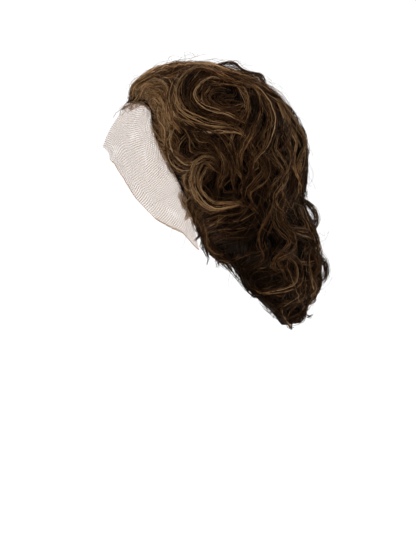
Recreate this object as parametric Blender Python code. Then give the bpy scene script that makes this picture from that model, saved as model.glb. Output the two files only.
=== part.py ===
"""A lace front wig of wavy brown hair, as it sits when it is worn.

A net cap carries the hair. A sheer lace panel is sewn to its front edge, runs
over the forehead and the cheeks and ends in an untrimmed free edge. The hair
lies on both in sections, and its locks stand out of each section in relief.

Millimetres in the tables, metres in the meshes. +Z is up and the front looks
along -Y, so +X is the wearer's left. The origin is the top of the inside of
the cap, where it rests on the crown of the head.
"""

import math
from typing import NamedTuple

import bmesh
import bpy
import numpy as np

MM = 0.001

# Head and hair: the dome above the ear line and the levels below it
EAR_LINE = -77.0
HEAD_TOP = 77.0
HAIR_TOP = 84.0
LEVEL_UNIT = 100.0
HEAD_ROUNDNESS = ((-1, 2.2), (0, 2.15), (1, 1.8))
HAIR_POWER = 2.1
HAIR_FRONT_FULLNESS = 0.42


class Level(NamedTuple):
    """The head and the hair round it at one height, as half widths and depths from a spine."""

    z: float
    spine: float
    head_width: float
    head_front: float
    head_back: float
    hair_width: float
    hair_front: float
    hair_back: float


LEVELS = (
    Level(-77, -14, 74, 96, 96, 96, 99, 118),
    Level(-110, -12, 72, 97, 93, 99, 101, 116),
    Level(-140, -10, 68, 94, 80, 100, 100, 113),
    Level(-175, -6, 62, 84, 52, 98, 98, 122),
    Level(-205, 0, 57, 70, 37, 95, 96, 119),
    Level(-235, 14, 57, 60, 36, 86, 88, 106),
    Level(-260, 34, 54, 50, 34, 70, 66, 73),
    Level(-285, 62, 36, 28, 20, 46, 38, 41),
)

# Walls and gaps
CAP_WALL = 1.5
LACE_WALL = 1.0
PIECE_GAP = 0.7
SEAM_GAP = 0.35
STEPS_PER_SPAN = 12
CAP_COLUMNS = 40
CAP_ROWS = 7
LACE_COLUMNS = 36
LACE_ROWS = 9

# Edges, as station rows: the angle from the front in degrees, and the height station.
# A station runs from 0 at the crown to 1 at the ear line, and then by one for each 100 mm.
CAP_EDGE = (
    (0, 0.46), (27, 0.47), (45, 0.53), (54, 0.60), (63, 0.76), (72, 1.02), (81, 1.30), (90, 1.22),
    (99, 1.26), (108, 1.50), (126, 1.76), (153, 1.90), (180, 1.96),
)
LACE_FREE_EDGE = (
    (0, 1.17), (12, 1.23), (22, 1.40), (31, 1.62), (45, 1.84), (57, 1.93), (68, 1.99),
    (77, 2.14), (81, 2.18),
)
HAIRLINE = ((0, 0.665), (32, 0.645), (45, 0.70), (48, 0.74))
SIDE_EDGE = (
    (0.43, 48), (0.74, 48), (0.79, 50), (0.93, 55), (1.08, 60), (1.21, 65), (1.43, 72),
    (1.57, 77), (1.69, 80), (1.90, 86), (2.03, 90), (2.14, 95), (2.21, 102), (2.28, 110),
    (2.34, 115), (2.45, 122), (2.67, 125), (2.75, 128), (2.89, 143), (3.00, 156),
)

# The lace stands off the brow in a small peak where its two halves meet
PEAK_STATION = 1.04
PEAK_REACH = 8.0
PEAK_HALF_ANGLE = 11.0
PEAK_RISE = 0.30
PEAK_FALL = 0.12

# Hair sections: where they meet, and how they thin out to the hairline and the hanging edge
CROWN_STATION = 0.42
BACK_ANGLE = 122.0
NAPE_STATION = 1.69
LOWEST_STATION = 3.0
VALLEY_UNDER = 8.0
VALLEY_LEAST = 0.45
THICKEST = 20.0
SCALP_EDGE_WALL = 2.0
SCALP_FADE = 28.0
FRONT_FADE = 14.0
HANGING_EDGE_WALL = 7.0
HANGING_FADE = 16.0
HANGS_BELOW = 1.49
EDGE_SAMPLES = (20, 90, 12)

# Locks: the surface that they are drawn on, how far they reach and what is left at the hair's edge
LOCK_DEPTH = 0.85
LOCK_REACH = 30.0
LOCK_AT_EDGE = 0.3
GRID = 3.0
SMALLEST_EDGE = 0.3


class Section(NamedTuple):
    """A hair section: its node, its size when spread out, and the triangles that it keeps."""

    name: str
    across: float
    down: float
    triangles: int


CROWN = Section("hair_crown", 270, 66, 1000)
FRONT = Section("hair_front", 110, 36, 600)
LEFT = Section("hair_left", 120, 150, 1400)
BACK_OF_HEAD = Section("hair_back", 200, 150, 1600)
NAPE_LEFT = Section("hair_nape_left", 150, 145, 1600)

SIDE, BACK, TOP = "side", "back", "top"


class Lock(NamedTuple):
    """One lock: the view that its points are drawn in, its half width, thickness and lifts.

    Side points are (y, z), back points are (x, z) and top points are (x, y). A lift is how far
    the lock's middle stands off the hair between the locks, at the root and then at the tip.
    """

    name: str
    view: str
    width: float
    thick: float
    lifts: tuple
    points: tuple


LOCKS = (
    Lock(
        "temple_front", SIDE, 9, 3, (0, 0),
        ((-75, -17), (-57, -20), (-48, -36), (-50, -61), (-43, -80)),
    ),
    Lock(
        "temple_rear", SIDE, 10, 5, (0, 1.5),
        ((-66, -8), (-47, -12), (-38, -30), (-41, -52), (-32, -68)),
    ),
    Lock(
        "swirl_outer", SIDE, 12, 6, (1.5, 4.5),
        ((18, -2), (-13, 2), (-33, -17), (-31, -43), (-4, -59), (29, -66), (46, -85)),
    ),
    Lock(
        "swirl_inner", SIDE, 9, 6, (1.5, 4.5),
        ((26, -13), (-2, -10), (-18, -28), (-7, -45), (18, -52), (40, -61)),
    ),
    Lock(
        "swirl_core", SIDE, 6, 4, (1.5, 1.5),
        ((18, -21), (0, -21), (-4, -33), (9, -43), (29, -43)),
    ),
    Lock(
        "crown_fall_front", SIDE, 11, 6, (1.5, 4.5),
        ((20, -5), (40, -21), (46, -43), (38, -69), (29, -94), (35, -120)),
    ),
    Lock(
        "crown_fall_middle", SIDE, 11, 6, (1.5, 4.5),
        ((42, -12), (57, -32), (65, -56), (57, -80), (44, -102), (48, -129)),
    ),
    Lock(
        "crown_fall_rear", SIDE, 10, 6, (1.5, 5.5),
        ((57, -19), (74, -36), (81, -60), (73, -85), (57, -96)),
    ),
    Lock(
        "temple_wave", SIDE, 9, 6, (0, 5.5),
        ((-40, -38), (-31, -58), (-8, -66), (11, -79), (23, -102), (23, -126)),
    ),
    Lock(
        "cheek_wave", SIDE, 9, 5, (0, 4.5),
        ((-26, -67), (-7, -74), (8, -89), (13, -109), (7, -129)),
    ),
    Lock(
        "temple_hook", SIDE, 8, 5, (0, 4.5),
        ((-37, -58), (-47, -80), (-43, -98), (-25, -107), (-4, -100)),
    ),
    Lock(
        "temple_hook_inner", SIDE, 6, 4, (0, 4.5),
        ((-22, -72), (-33, -87), (-26, -100), (-9, -96), (4, -109)),
    ),
    Lock(
        "ear_curl", SIDE, 7, 6, (4, 6),
        ((13, -105), (-7, -99), (-18, -116), (-15, -136), (2, -150), (29, -146)),
    ),
    Lock(
        "ear_curl_core", SIDE, 5, 4, (1, 2.5),
        ((11, -116), (-4, -114), (-9, -128), (1, -140), (22, -138)),
    ),
    Lock(
        "ear_tuft", SIDE, 6, 5, (0, 4),
        ((7, -149), (-9, -147), (-21, -143), (-26, -150), (-21, -158)),
    ),
    Lock(
        "jaw_upper", SIDE, 9, 5, (2.5, 3),
        ((46, -138), (26, -154), (4, -158), (-11, -165), (-12, -176)),
    ),
    Lock(
        "jaw_middle", SIDE, 9, 5, (2.5, 3),
        ((53, -153), (31, -168), (9, -171), (-8, -179), (-3, -191)),
    ),
    Lock(
        "jaw_lower", SIDE, 8, 5, (2.5, 3),
        ((55, -171), (35, -180), (15, -183), (1, -191), (9, -201)),
    ),
    Lock(
        "neck_front", SIDE, 9, 6, (1.5, 3),
        ((57, -182), (46, -201), (40, -219), (46, -238), (59, -245)),
    ),
    Lock(
        "neck_fall_front", SIDE, 9, 6, (1.5, 4.5),
        ((37, -113), (52, -138), (44, -164), (34, -186), (42, -201)),
    ),
    Lock(
        "neck_fall_middle", SIDE, 10, 6, (1.5, 4.5),
        ((53, -100), (68, -131), (59, -160), (52, -184), (59, -206)),
    ),
    Lock(
        "neck_fall_rear", SIDE, 10, 6, (1.5, 4.5),
        ((74, -91), (90, -109), (86, -133), (72, -153), (78, -175)),
    ),
    Lock(
        "back_bulge", SIDE, 10, 6, (2.5, 4.5),
        ((75, -39), (98, -61), (107, -91), (103, -120), (91, -140)),
    ),
    Lock(
        "back_curl_upper", SIDE, 9, 6, (3, 5.5),
        ((86, -140), (106, -149), (112, -163), (99, -176), (81, -172)),
    ),
    Lock(
        "back_curl_middle", SIDE, 9, 6, (3, 5.5),
        ((75, -171), (99, -179), (113, -195), (102, -209), (85, -208)),
    ),
    Lock(
        "back_curl_lower", SIDE, 9, 6, (3, 4.5),
        ((64, -193), (84, -208), (87, -229), (73, -242), (57, -237)),
    ),
    Lock(
        "nape_hook", SIDE, 8, 5, (1.5, 3),
        ((48, -208), (43, -229), (52, -248), (72, -251)),
    ),
    Lock(
        "nape_curl", SIDE, 8, 5, (1.5, 4.5),
        ((73, -215), (92, -232), (91, -252), (75, -262), (64, -254)),
    ),
    Lock(
        "tail", SIDE, 8, 5, (1.5, 4.5),
        ((59, -248), (74, -263), (90, -272), (101, -264), (95, -254)),
    ),
    Lock(
        "parting_sweep", TOP, 11, 5, (0, 3),
        ((2, -84), (6, -58), (0, -28), (8, 4), (2, 36)),
    ),
    Lock(
        "crown_sweep_inner", TOP, 11, 5, (0, 4),
        ((22, -78), (28, -50), (19, -20), (29, 10), (21, 42)),
    ),
    Lock(
        "crown_sweep_outer", TOP, 10, 6, (0, 4),
        ((40, -66), (49, -40), (40, -10), (52, 16), (44, 46)),
    ),
    Lock(
        "whorl_inner", TOP, 11, 4, (0.5, 2.5),
        ((4, 26), (14, 48), (6, 70), (14, 88)),
    ),
    Lock(
        "whorl_outer", TOP, 11, 4, (0.5, 2.5),
        ((28, 34), (40, 56), (30, 76), (40, 88)),
    ),
    Lock(
        "back_wave_inner", BACK, 11, 6, (1.5, 4.5),
        ((10, -36), (22, -62), (12, -88), (26, -114), (16, -140)),
    ),
    Lock(
        "back_wave_middle", BACK, 11, 6, (1.5, 4.5),
        ((36, -42), (50, -68), (42, -94), (56, -120), (48, -146)),
    ),
    Lock(
        "back_wave_outer", BACK, 11, 6, (1.5, 4.5),
        ((60, -56), (76, -82), (70, -108), (82, -134), (74, -160)),
    ),
    Lock(
        "nape_wave_inner", BACK, 11, 6, (1.5, 4.5),
        ((14, -132), (30, -156), (20, -180), (6, -194), (10, -212)),
    ),
    Lock(
        "nape_wave_outer", BACK, 11, 6, (1.5, 4.5),
        ((46, -138), (62, -162), (52, -186), (66, -206), (58, -222)),
    ),
    Lock(
        "nape_fall_inner", BACK, 10, 6, (1.5, 4),
        ((12, -186), (28, -206), (24, -230), (8, -246), (2, -232)),
    ),
    Lock(
        "nape_fall_outer", BACK, 10, 6, (1.5, 4),
        ((40, -190), (54, -212), (44, -236), (30, -248), (20, -240)),
    ),
    Lock(
        "tail_curl", BACK, 9, 5, (1.5, 4),
        ((24, -234), (34, -254), (24, -272), (10, -274), (6, -264)),
    ),
)


def smooth_through(values: np.ndarray, samples: np.ndarray, at: np.ndarray) -> np.ndarray:
    """A smooth line through samples at rising values, with no overshoot at its ends."""
    slopes = np.gradient(samples, values)
    at = np.clip(at, values[0], values[-1])
    i = np.clip(np.searchsorted(values, at) - 1, 0, len(values) - 2)
    width = values[i + 1] - values[i]
    t = (at - values[i]) / width
    return (
        (2 * t**3 - 3 * t**2 + 1) * samples[i]
        + (t**3 - 2 * t**2 + t) * width * slopes[i]
        + (3 * t**2 - 2 * t**3) * samples[i + 1]
        + (t**3 - t**2) * width * slopes[i + 1]
    )


def level_at(z: np.ndarray) -> dict:
    """Every column of LEVELS at these heights. Above the ear line they stay as they are there."""
    rows = LEVELS[::-1]
    heights = np.array([row.z for row in rows], float)
    return {
        name: smooth_through(heights, np.array([getattr(row, name) for row in rows], float), z)
        for name in Level._fields[1:]
    }


def half_axes(z: np.ndarray, forward: np.ndarray, depth: np.ndarray) -> tuple:
    """(spine, width, length, height, power) of the surface at a depth between head and hair.

    Forward runs from 1 at the front to -1 at the back.
    """
    level = level_at(z)
    head_length = np.where(forward < 0, level["head_back"], level["head_front"])
    hair_length = np.where(forward < 0, level["hair_back"], level["hair_front"])
    head_power = np.interp(forward, *np.array(HEAD_ROUNDNESS).T)
    hair_power = HAIR_POWER + HAIR_FRONT_FULLNESS * forward
    return (
        level["spine"],
        level["head_width"] + (level["hair_width"] - level["head_width"]) * depth,
        head_length + (hair_length - head_length) * depth,
        HEAD_TOP + (HAIR_TOP - HEAD_TOP) * depth,
        head_power + (hair_power - head_power) * np.clip(depth, 0, 1),
    )


def place(angle: np.ndarray, station: np.ndarray, depth: np.ndarray) -> np.ndarray:
    """Points of the form in millimetres, from angle in degrees, station and depth."""
    turn = np.radians(angle)
    tilt = np.radians(np.minimum(station, 1.0) * 90.0)
    z_low = EAR_LINE - np.maximum(station - 1.0, 0.0) * LEVEL_UNIT
    spine, width, length, height, power = half_axes(z_low, np.cos(turn), depth)
    across = np.sin(tilt) * np.sin(turn)
    along = -np.sin(tilt) * np.cos(turn)
    up = np.cos(tilt)
    reach = (
        np.abs(across / width) ** power + np.abs(along / length) ** power + (up / height) ** power
    ) ** (-1 / power)
    return np.stack([reach * across, spine + reach * along, z_low + reach * up], axis=-1)


def outward(angle: np.ndarray, station: np.ndarray) -> np.ndarray:
    """The direction from the spine out through each point, as unit vectors."""
    turn = np.radians(angle)
    tilt = np.radians(np.minimum(station, 1.0) * 90.0)
    return np.stack(
        [np.sin(tilt) * np.sin(turn), -np.sin(tilt) * np.cos(turn), np.cos(tilt)], axis=-1
    )


def lifted(view: str, first: np.ndarray, second: np.ndarray, depth: np.ndarray) -> np.ndarray:
    """Points drawn in one view, lifted on to the form at a depth. Past its outline they stay flat."""
    z_low = np.full_like(first, EAR_LINE) if view == TOP else np.minimum(second, EAR_LINE)
    level = level_at(z_low)
    if view == BACK:
        forward = np.full_like(first, -1.0)
    else:
        along = (level["spine"] - (second if view == TOP else first)) / level["hair_front"]
        forward = np.clip(along, -1, 1)
    spine, width, length, height, power = half_axes(z_low, forward, depth)
    if view == TOP:
        left = 1 - np.abs(first / width) ** power - np.abs((second - spine) / length) ** power
        z = EAR_LINE + height * np.maximum(left, 0) ** (1 / power)
        return np.stack([first, second, z], axis=-1)
    rise = np.abs(np.maximum(second - EAR_LINE, 0) / height) ** power
    if view == SIDE:
        left = 1 - np.abs((first - spine) / length) ** power - rise
        return np.stack([width * np.maximum(left, 0) ** (1 / power), first, second], axis=-1)
    left = 1 - np.abs(first / width) ** power - rise
    y = spine + length * np.maximum(left, 0) ** (1 / power)
    return np.stack([first, y, second], axis=-1)


def curve_through(points: tuple) -> np.ndarray:
    """A smooth curve through a few points, with STEPS_PER_SPAN steps between two of them."""
    knots = np.array(points, float)
    count = (len(knots) - 1) * STEPS_PER_SPAN + 1
    at = np.linspace(0, len(knots) - 1, count)
    spans = np.arange(len(knots), dtype=float)
    return np.stack([smooth_through(spans, knots[:, i], at) for i in range(knots.shape[1])], axis=-1)


def lock_line(lock: Lock) -> np.ndarray:
    """A lock's centre line on the left side: x, y, z, half width, thickness and lift."""
    flat = curve_through(lock.points)
    share = np.linspace(0, 1, len(flat))
    lift = lock.lifts[0] + (lock.lifts[1] - lock.lifts[0]) * share
    line = lifted(lock.view, flat[:, 0], flat[:, 1], np.full_like(share, LOCK_DEPTH))
    taper = np.minimum(1.0, np.minimum(0.55 + 1.6 * share, 0.25 + 2.2 * (1 - share)))
    return np.column_stack([line, lock.width * taper, lock.thick * taper, lift])


def all_lock_points() -> np.ndarray:
    """Every lock's points on both sides: x, y, z, half width, thickness and lift."""
    left = np.concatenate([lock_line(lock) for lock in LOCKS])
    return np.concatenate([left, left * np.array([-1, 1, 1, 1, 1, 1])])


LOCK_POINTS = all_lock_points()


def lock_height(base: np.ndarray, out: np.ndarray) -> np.ndarray:
    """How far the locks stand above each base point along out, and 0 where none covers it."""
    height = np.zeros(len(base))
    for x, y, z, width, thick, lift in LOCK_POINTS:
        away = np.array([x, y, z]) - base
        along = np.einsum("ij,ij->i", away, out)
        aside = np.einsum("ij,ij->i", away, away) - along**2
        near = (aside < width**2) & (np.abs(along) < LOCK_REACH)
        round_top = np.sqrt(np.maximum(1 - aside / width**2, 0))
        height = np.where(near, np.maximum(height, (lift + thick) * round_top), height)
    return height


def edge_points() -> tuple:
    """Points along the hair's edge on both sides, how far in from each the hair is full, and its wall."""
    front = np.linspace(0, HAIRLINE[-1][0], EDGE_SAMPLES[0])
    side = np.linspace(HAIRLINE[-1][1], LOWEST_STATION, EDGE_SAMPLES[1])
    turned = np.interp(side, *np.array(SIDE_EDGE).T)
    low = np.linspace(turned[-1], 180, EDGE_SAMPLES[2])
    angle = np.concatenate([front, turned, low])
    line = np.interp(front, *np.array(HAIRLINE, float).T)
    station = np.concatenate([line, side, np.full_like(low, LOWEST_STATION)])
    left = place(angle, station, np.zeros_like(angle))
    hanging = station > HANGS_BELOW
    fade = np.where(hanging, HANGING_FADE, SCALP_FADE)
    fade[:len(front)] = FRONT_FADE
    wall = np.where(hanging, HANGING_EDGE_WALL, SCALP_EDGE_WALL)
    return np.concatenate([left, left * np.array([-1, 1, 1])]), np.tile(fade, 2), np.tile(wall, 2)


EDGE_POINTS, EDGE_FADE, EDGE_WALL = edge_points()


def from_edge(base: np.ndarray) -> tuple:
    """How full the hair is, 0 at its edge and 1 well inside it, and its thickness at the edge."""
    away = np.linalg.norm(base[:, None, :] - EDGE_POINTS[None, :, :], axis=2)
    nearest = away.argmin(axis=1)
    share = np.clip(away.min(axis=1) / EDGE_FADE[nearest], 0, 1)
    return share * share * (3 - 2 * share), EDGE_WALL[nearest]


def clear_scene() -> None:
    """Removes every object of the startup scene."""
    for obj in list(bpy.data.objects):
        bpy.data.objects.remove(obj)


def material(name: str, colour: tuple, roughness: float) -> bpy.types.Material:
    """A plain Principled material."""
    made = bpy.data.materials.new(name)
    made.use_nodes = True
    shader = made.node_tree.nodes["Principled BSDF"]
    shader.inputs["Base Color"].default_value = (*colour, 1)
    shader.inputs["Roughness"].default_value = roughness
    return made


def grid_patch(columns: int, rows: int) -> bmesh.types.BMesh:
    """A flat grid whose x and y both run from 0 to 1."""
    made = bmesh.new()
    bmesh.ops.create_grid(made, x_segments=columns, y_segments=rows, size=0.5)
    bmesh.ops.translate(made, verts=made.verts, vec=(0.5, 0.5, 0))
    return made


def walled(
    made: bmesh.types.BMesh, outer: np.ndarray, inner: np.ndarray
) -> bmesh.types.BMesh:
    """Turns a patch into a closed wall between two sets of points, in millimetres."""
    made.verts.index_update()
    ids = made.verts.layers.int.new("row")
    for vert in made.verts:
        vert[ids] = vert.index
        vert.co = outer[vert.index] * MM
    bmesh.ops.remove_doubles(made, verts=made.verts, dist=SMALLEST_EDGE * MM)
    faces = bmesh.ops.extrude_face_region(made, geom=list(made.faces), use_keep_orig=True)["geom"]
    for vert in (item for item in faces if isinstance(item, bmesh.types.BMVert)):
        vert.co = inner[vert[ids]] * MM
    bmesh.ops.recalc_face_normals(made, faces=made.faces)
    return made


def patch_stations(made: bmesh.types.BMesh, angles, stations) -> tuple:
    """Each vertex's angle and station, from two functions of its place on the patch."""
    flat = np.array([vert.co[:2] for vert in made.verts])
    station = stations(flat[:, 0], flat[:, 1])
    return angles(flat[:, 0], station), station


def add_object(name: str, made: bmesh.types.BMesh, look: bpy.types.Material) -> bpy.types.Object:
    """Links a finished bmesh as an object, shaded smooth."""
    mesh = bpy.data.meshes.new(name)
    made.to_mesh(mesh)
    made.free()
    mesh.materials.append(look)
    mesh.shade_smooth()
    mesh.set_sharp_from_angle(angle=math.radians(45))
    obj = bpy.data.objects.new(name, mesh)
    bpy.context.scene.collection.objects.link(obj)
    return obj


def thin_out(obj: bpy.types.Object, triangles: int) -> None:
    """Lets a Decimate modifier keep this many triangles, where the form bends most."""
    obj.data.calc_loop_triangles()
    modifier = obj.modifiers.new("fewer_faces", "DECIMATE")
    modifier.ratio = min(1.0, triangles / len(obj.data.loop_triangles))


def cap_edge_at(angle: np.ndarray) -> np.ndarray:
    """The station of the cap's edge, straight between two columns of the cap."""
    columns = np.linspace(0, 180, CAP_COLUMNS // 2 + 1)
    return np.interp(np.abs(angle), columns, np.interp(columns, *np.array(CAP_EDGE, float).T))


def add_cap(look: bpy.types.Material) -> None:
    """The net cap: one wall from the crown to the lace seam, the ear tabs and the nape."""
    made = grid_patch(CAP_COLUMNS, CAP_ROWS)

    def angles(u, station):
        return u * 360 - 180

    def stations(u, v):
        return v * cap_edge_at(u * 360 - 180)

    angle, station = patch_stations(made, angles, stations)
    inner = place(angle, station, np.zeros_like(angle))
    outer = inner + outward(angle, station) * CAP_WALL
    add_object("cap", walled(made, outer, inner), look)


def lace_peak(angle: np.ndarray, station: np.ndarray) -> np.ndarray:
    """How far the loose lace stands off the brow, in millimetres."""
    rise = 1 - np.maximum(PEAK_STATION - station, 0) / PEAK_RISE
    fall = 1 - np.maximum(station - PEAK_STATION, 0) / PEAK_FALL
    along = np.clip(np.minimum(rise, fall), 0, 1)
    return PEAK_REACH * along**2 * np.exp(-np.abs(angle) / PEAK_HALF_ANGLE)


def add_lace(look: bpy.types.Material) -> None:
    """The lace front: from its seam with the cap down to the untrimmed free edge."""
    made = grid_patch(LACE_COLUMNS, LACE_ROWS)
    reach = LACE_FREE_EDGE[-1][0]
    free = np.array(LACE_FREE_EDGE, float).T

    def angles(u, station):
        return (2 * u - 1) * reach

    def stations(u, v):
        turned = np.abs((2 * u - 1) * reach)
        top = cap_edge_at(turned) + SEAM_GAP / LEVEL_UNIT
        return top + v * (np.interp(turned, *free) - top)

    angle, station = patch_stations(made, angles, stations)
    out = outward(angle, station)
    inner = place(angle, station, np.zeros_like(angle)) + out * lace_peak(angle, station)[:, None]
    add_object("lace_front", walled(made, inner + out * LACE_WALL, inner), look)


def softened(values: np.ndarray, columns: int) -> np.ndarray:
    """Values on a grid, each one moved halfway to the mean of its neighbours."""
    grid = np.pad(values.reshape(-1, columns + 1), 1, mode="edge")
    mean = (grid[:-2, 1:-1] + grid[2:, 1:-1] + grid[1:-1, :-2] + grid[1:-1, 2:]) / 4
    return ((grid[1:-1, 1:-1] + mean) / 2).ravel()


def add_hair(
    section: Section, angles, stations, look: bpy.types.Material
) -> bpy.types.Object:
    """One section of hair: a backing that clears what it lies on, with the locks on it in relief.

    Args:
        section: its node, size and triangles.
        angles: angle in degrees, from the place across and the station.
        stations: station, from the places across and down.
        look: its material.
    """
    columns = round(section.across / GRID)
    made = grid_patch(columns, round(section.down / GRID))
    angle, station = patch_stations(made, angles, stations)
    out = outward(angle, station)
    head = place(angle, station, np.zeros_like(angle)) + out * (CAP_WALL + PIECE_GAP)
    hair = place(angle, station, np.ones_like(angle))
    thick = np.einsum("ij,ij->i", hair - head, out)
    valley = np.maximum(thick - VALLEY_UNDER, thick * VALLEY_LEAST)
    full, edge_wall = from_edge(head)
    rise = edge_wall + (valley - edge_wall) * full
    locks = lock_height(head + out * rise[:, None], out)
    top = rise + locks * (LOCK_AT_EDGE + (1 - LOCK_AT_EDGE) * full)
    top = softened(softened(top, columns), columns)
    outer = head + out * top[:, None]
    inner = head + out * np.maximum(rise - THICKEST, 0)[:, None]
    obj = add_object(section.name, walled(made, outer, inner), look)
    thin_out(obj, section.triangles)
    return obj


def add_mirrored(name: str, source: bpy.types.Object, triangles: int) -> None:
    """The same section on the wearer's right."""
    made = bmesh.new()
    made.from_mesh(source.data)
    bmesh.ops.scale(made, vec=(-1, 1, 1), verts=made.verts)
    bmesh.ops.reverse_faces(made, faces=made.faces)
    thin_out(add_object(name, made, source.data.materials[0]), triangles)


def add_top_hair(look: bpy.types.Material) -> None:
    """The crown, and the front between it and the hairline."""
    hairline = np.array(HAIRLINE, float).T
    corner = HAIRLINE[-1][0]
    top = CROWN_STATION + SEAM_GAP / LEVEL_UNIT

    def front_stations(u, v):
        return top + v * (np.interp(np.abs(2 * u - 1) * corner, *hairline) - top)

    add_hair(CROWN, lambda u, station: u * 360 - 180, lambda u, v: v * CROWN_STATION, look)
    add_hair(FRONT, lambda u, station: (2 * u - 1) * corner, front_stations, look)


def add_middle_hair(look: bpy.types.Material) -> None:
    """The sides, from their hairline to the back, and the back of the head between them."""
    side_edge = np.array(SIDE_EDGE, float).T
    seam_angle = math.degrees(SEAM_GAP / LEVELS[0].head_width)
    top = CROWN_STATION + SEAM_GAP / LEVEL_UNIT
    back_first = BACK_ANGLE + seam_angle

    def side_angles(u, station):
        first = np.interp(station, *side_edge) + seam_angle
        return first + u * (BACK_ANGLE - first)

    def stations(u, v):
        return top + v * (NAPE_STATION - top)

    left = add_hair(LEFT, side_angles, stations, look)
    add_mirrored("hair_right", left, LEFT.triangles)
    add_hair(BACK_OF_HEAD, lambda u, station: back_first + u * (360 - 2 * back_first), stations, look)


def add_nape_hair(look: bpy.types.Material) -> None:
    """The hair that hangs below the ears and at the nape, in two halves."""
    side_edge = np.array(SIDE_EDGE, float).T
    last = 180 - math.degrees(SEAM_GAP / LEVELS[-1].hair_width)
    top = NAPE_STATION + SEAM_GAP / LEVEL_UNIT

    def angles(u, station):
        edge = np.interp(station, *side_edge)
        return edge + u * (last - edge)

    left = add_hair(NAPE_LEFT, angles, lambda u, v: top + v * (LOWEST_STATION - top), look)
    add_mirrored("hair_nape_right", left, NAPE_LEFT.triangles)


def main() -> None:
    """Builds the wig."""
    clear_scene()
    net = material("cap_net", (0.07, 0.05, 0.035), 0.8)
    lace = material("lace", (0.62, 0.47, 0.36), 0.7)
    hair = material("hair", (0.06, 0.036, 0.022), 0.45)
    add_cap(net)
    add_lace(lace)
    add_top_hair(hair)
    add_middle_hair(hair)
    add_nape_hair(hair)


main()
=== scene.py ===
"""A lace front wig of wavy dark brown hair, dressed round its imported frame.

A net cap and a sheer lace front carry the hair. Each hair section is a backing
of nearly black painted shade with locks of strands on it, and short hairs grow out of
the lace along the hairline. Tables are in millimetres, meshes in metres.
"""

import logging
import math
from collections.abc import Callable, Iterator
from dataclasses import dataclass, field
from enum import Enum
from typing import NamedTuple

import bmesh
import bpy
import numpy as np
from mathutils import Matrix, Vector


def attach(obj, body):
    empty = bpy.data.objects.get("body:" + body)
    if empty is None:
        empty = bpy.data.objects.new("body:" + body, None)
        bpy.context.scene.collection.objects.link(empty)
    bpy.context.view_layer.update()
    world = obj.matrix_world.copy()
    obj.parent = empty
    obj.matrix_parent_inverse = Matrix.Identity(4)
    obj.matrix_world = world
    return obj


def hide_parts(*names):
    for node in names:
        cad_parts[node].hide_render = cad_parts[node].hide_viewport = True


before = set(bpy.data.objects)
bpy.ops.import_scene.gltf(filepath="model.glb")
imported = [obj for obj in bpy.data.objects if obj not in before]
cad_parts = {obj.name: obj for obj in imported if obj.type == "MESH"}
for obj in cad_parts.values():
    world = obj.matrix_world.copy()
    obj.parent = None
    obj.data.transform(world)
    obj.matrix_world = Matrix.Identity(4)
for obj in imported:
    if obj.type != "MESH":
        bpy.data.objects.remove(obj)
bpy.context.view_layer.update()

MM = 0.001
BODY = "root"
UV_MAP = "OFBake"
ROOT_3 = math.sqrt(3)
# The sockets of a Mix node in colour mode
MIX_A, MIX_B, MIX_OUT = 6, 7, 2
# The columns of the hair surface's maps
RISE, FULL, RELIEF, TONE, FLOW = 0, 1, 2, 3, slice(4, 7)
log = logging.getLogger("wig")


# Shared helpers

def hex_colour(code: str) -> tuple[float, float, float, float]:
    """Turns an sRGB hex colour into a linear one.

    Args:
        code: six hex digits.

    Returns:
        Linear red, green and blue, and an alpha of 1.
    """
    values = [int(code[i:i + 2], 16) / 255 for i in (0, 2, 4)]
    return (*(v / 12.92 if v <= 0.04045 else ((v + 0.055) / 1.055) ** 2.4 for v in values), 1.0)


def feed(tree: bpy.types.NodeTree, node: bpy.types.Node, inputs: dict) -> None:
    """Sets or links a node's inputs.

    Args:
        tree: the material's or world's node tree.
        node: the node.
        inputs: input name or number to a value, or to the output socket that feeds it.
    """
    for key, value in inputs.items():
        if isinstance(value, bpy.types.NodeSocket):
            tree.links.new(value, node.inputs[key])
        else:
            node.inputs[key].default_value = value


def add_node(tree: bpy.types.NodeTree, kind: str, inputs: dict | None = None, **settings) -> bpy.types.Node:
    """Adds one shader node.

    Args:
        tree: the material's or world's node tree.
        kind: the node's type name.
        inputs: its inputs, as feed takes them.
        **settings: properties of the node itself.

    Returns:
        The new node.
    """
    node = tree.nodes.new(kind)
    for name, value in settings.items():
        setattr(node, name, value)
    feed(tree, node, inputs or {})
    return node


def fill_ramp(node: bpy.types.Node, stops: tuple) -> bpy.types.Node:
    """Sets a colour ramp's stops.

    Args:
        node: the ramp, with the two stops that it starts with.
        stops: places and sRGB hex colours.

    Returns:
        The same node.
    """
    elements = node.color_ramp.elements
    while len(elements) < len(stops):
        elements.new(1.0)
    for element, (place, code) in zip(elements, stops):
        element.position = place
        element.color = hex_colour(code)
    return node


def blank_material(name: str) -> tuple[bpy.types.Material, bpy.types.NodeTree, bpy.types.Node]:
    """Starts a material.

    Args:
        name: the material's name.

    Returns:
        The material, its node tree and its Principled shader.
    """
    material = bpy.data.materials.new(name)
    material.use_nodes = True
    tree = material.node_tree
    return material, tree, tree.nodes["Principled BSDF"]


def finish_piece(obj: bpy.types.Object, material: bpy.types.Material) -> bpy.types.Object:
    """Links a piece, gives it its material and slot, and sets it on the body.

    Args:
        obj: the new object.
        material: its material.

    Returns:
        The same object.
    """
    bpy.context.scene.collection.objects.link(obj)
    obj.data.materials.append(material)
    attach(obj, BODY)
    return obj


def unit(vectors: np.ndarray) -> np.ndarray:
    """Vectors scaled to length one."""
    return vectors / np.maximum(np.linalg.norm(vectors, axis=-1, keepdims=True), 1e-9)


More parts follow.
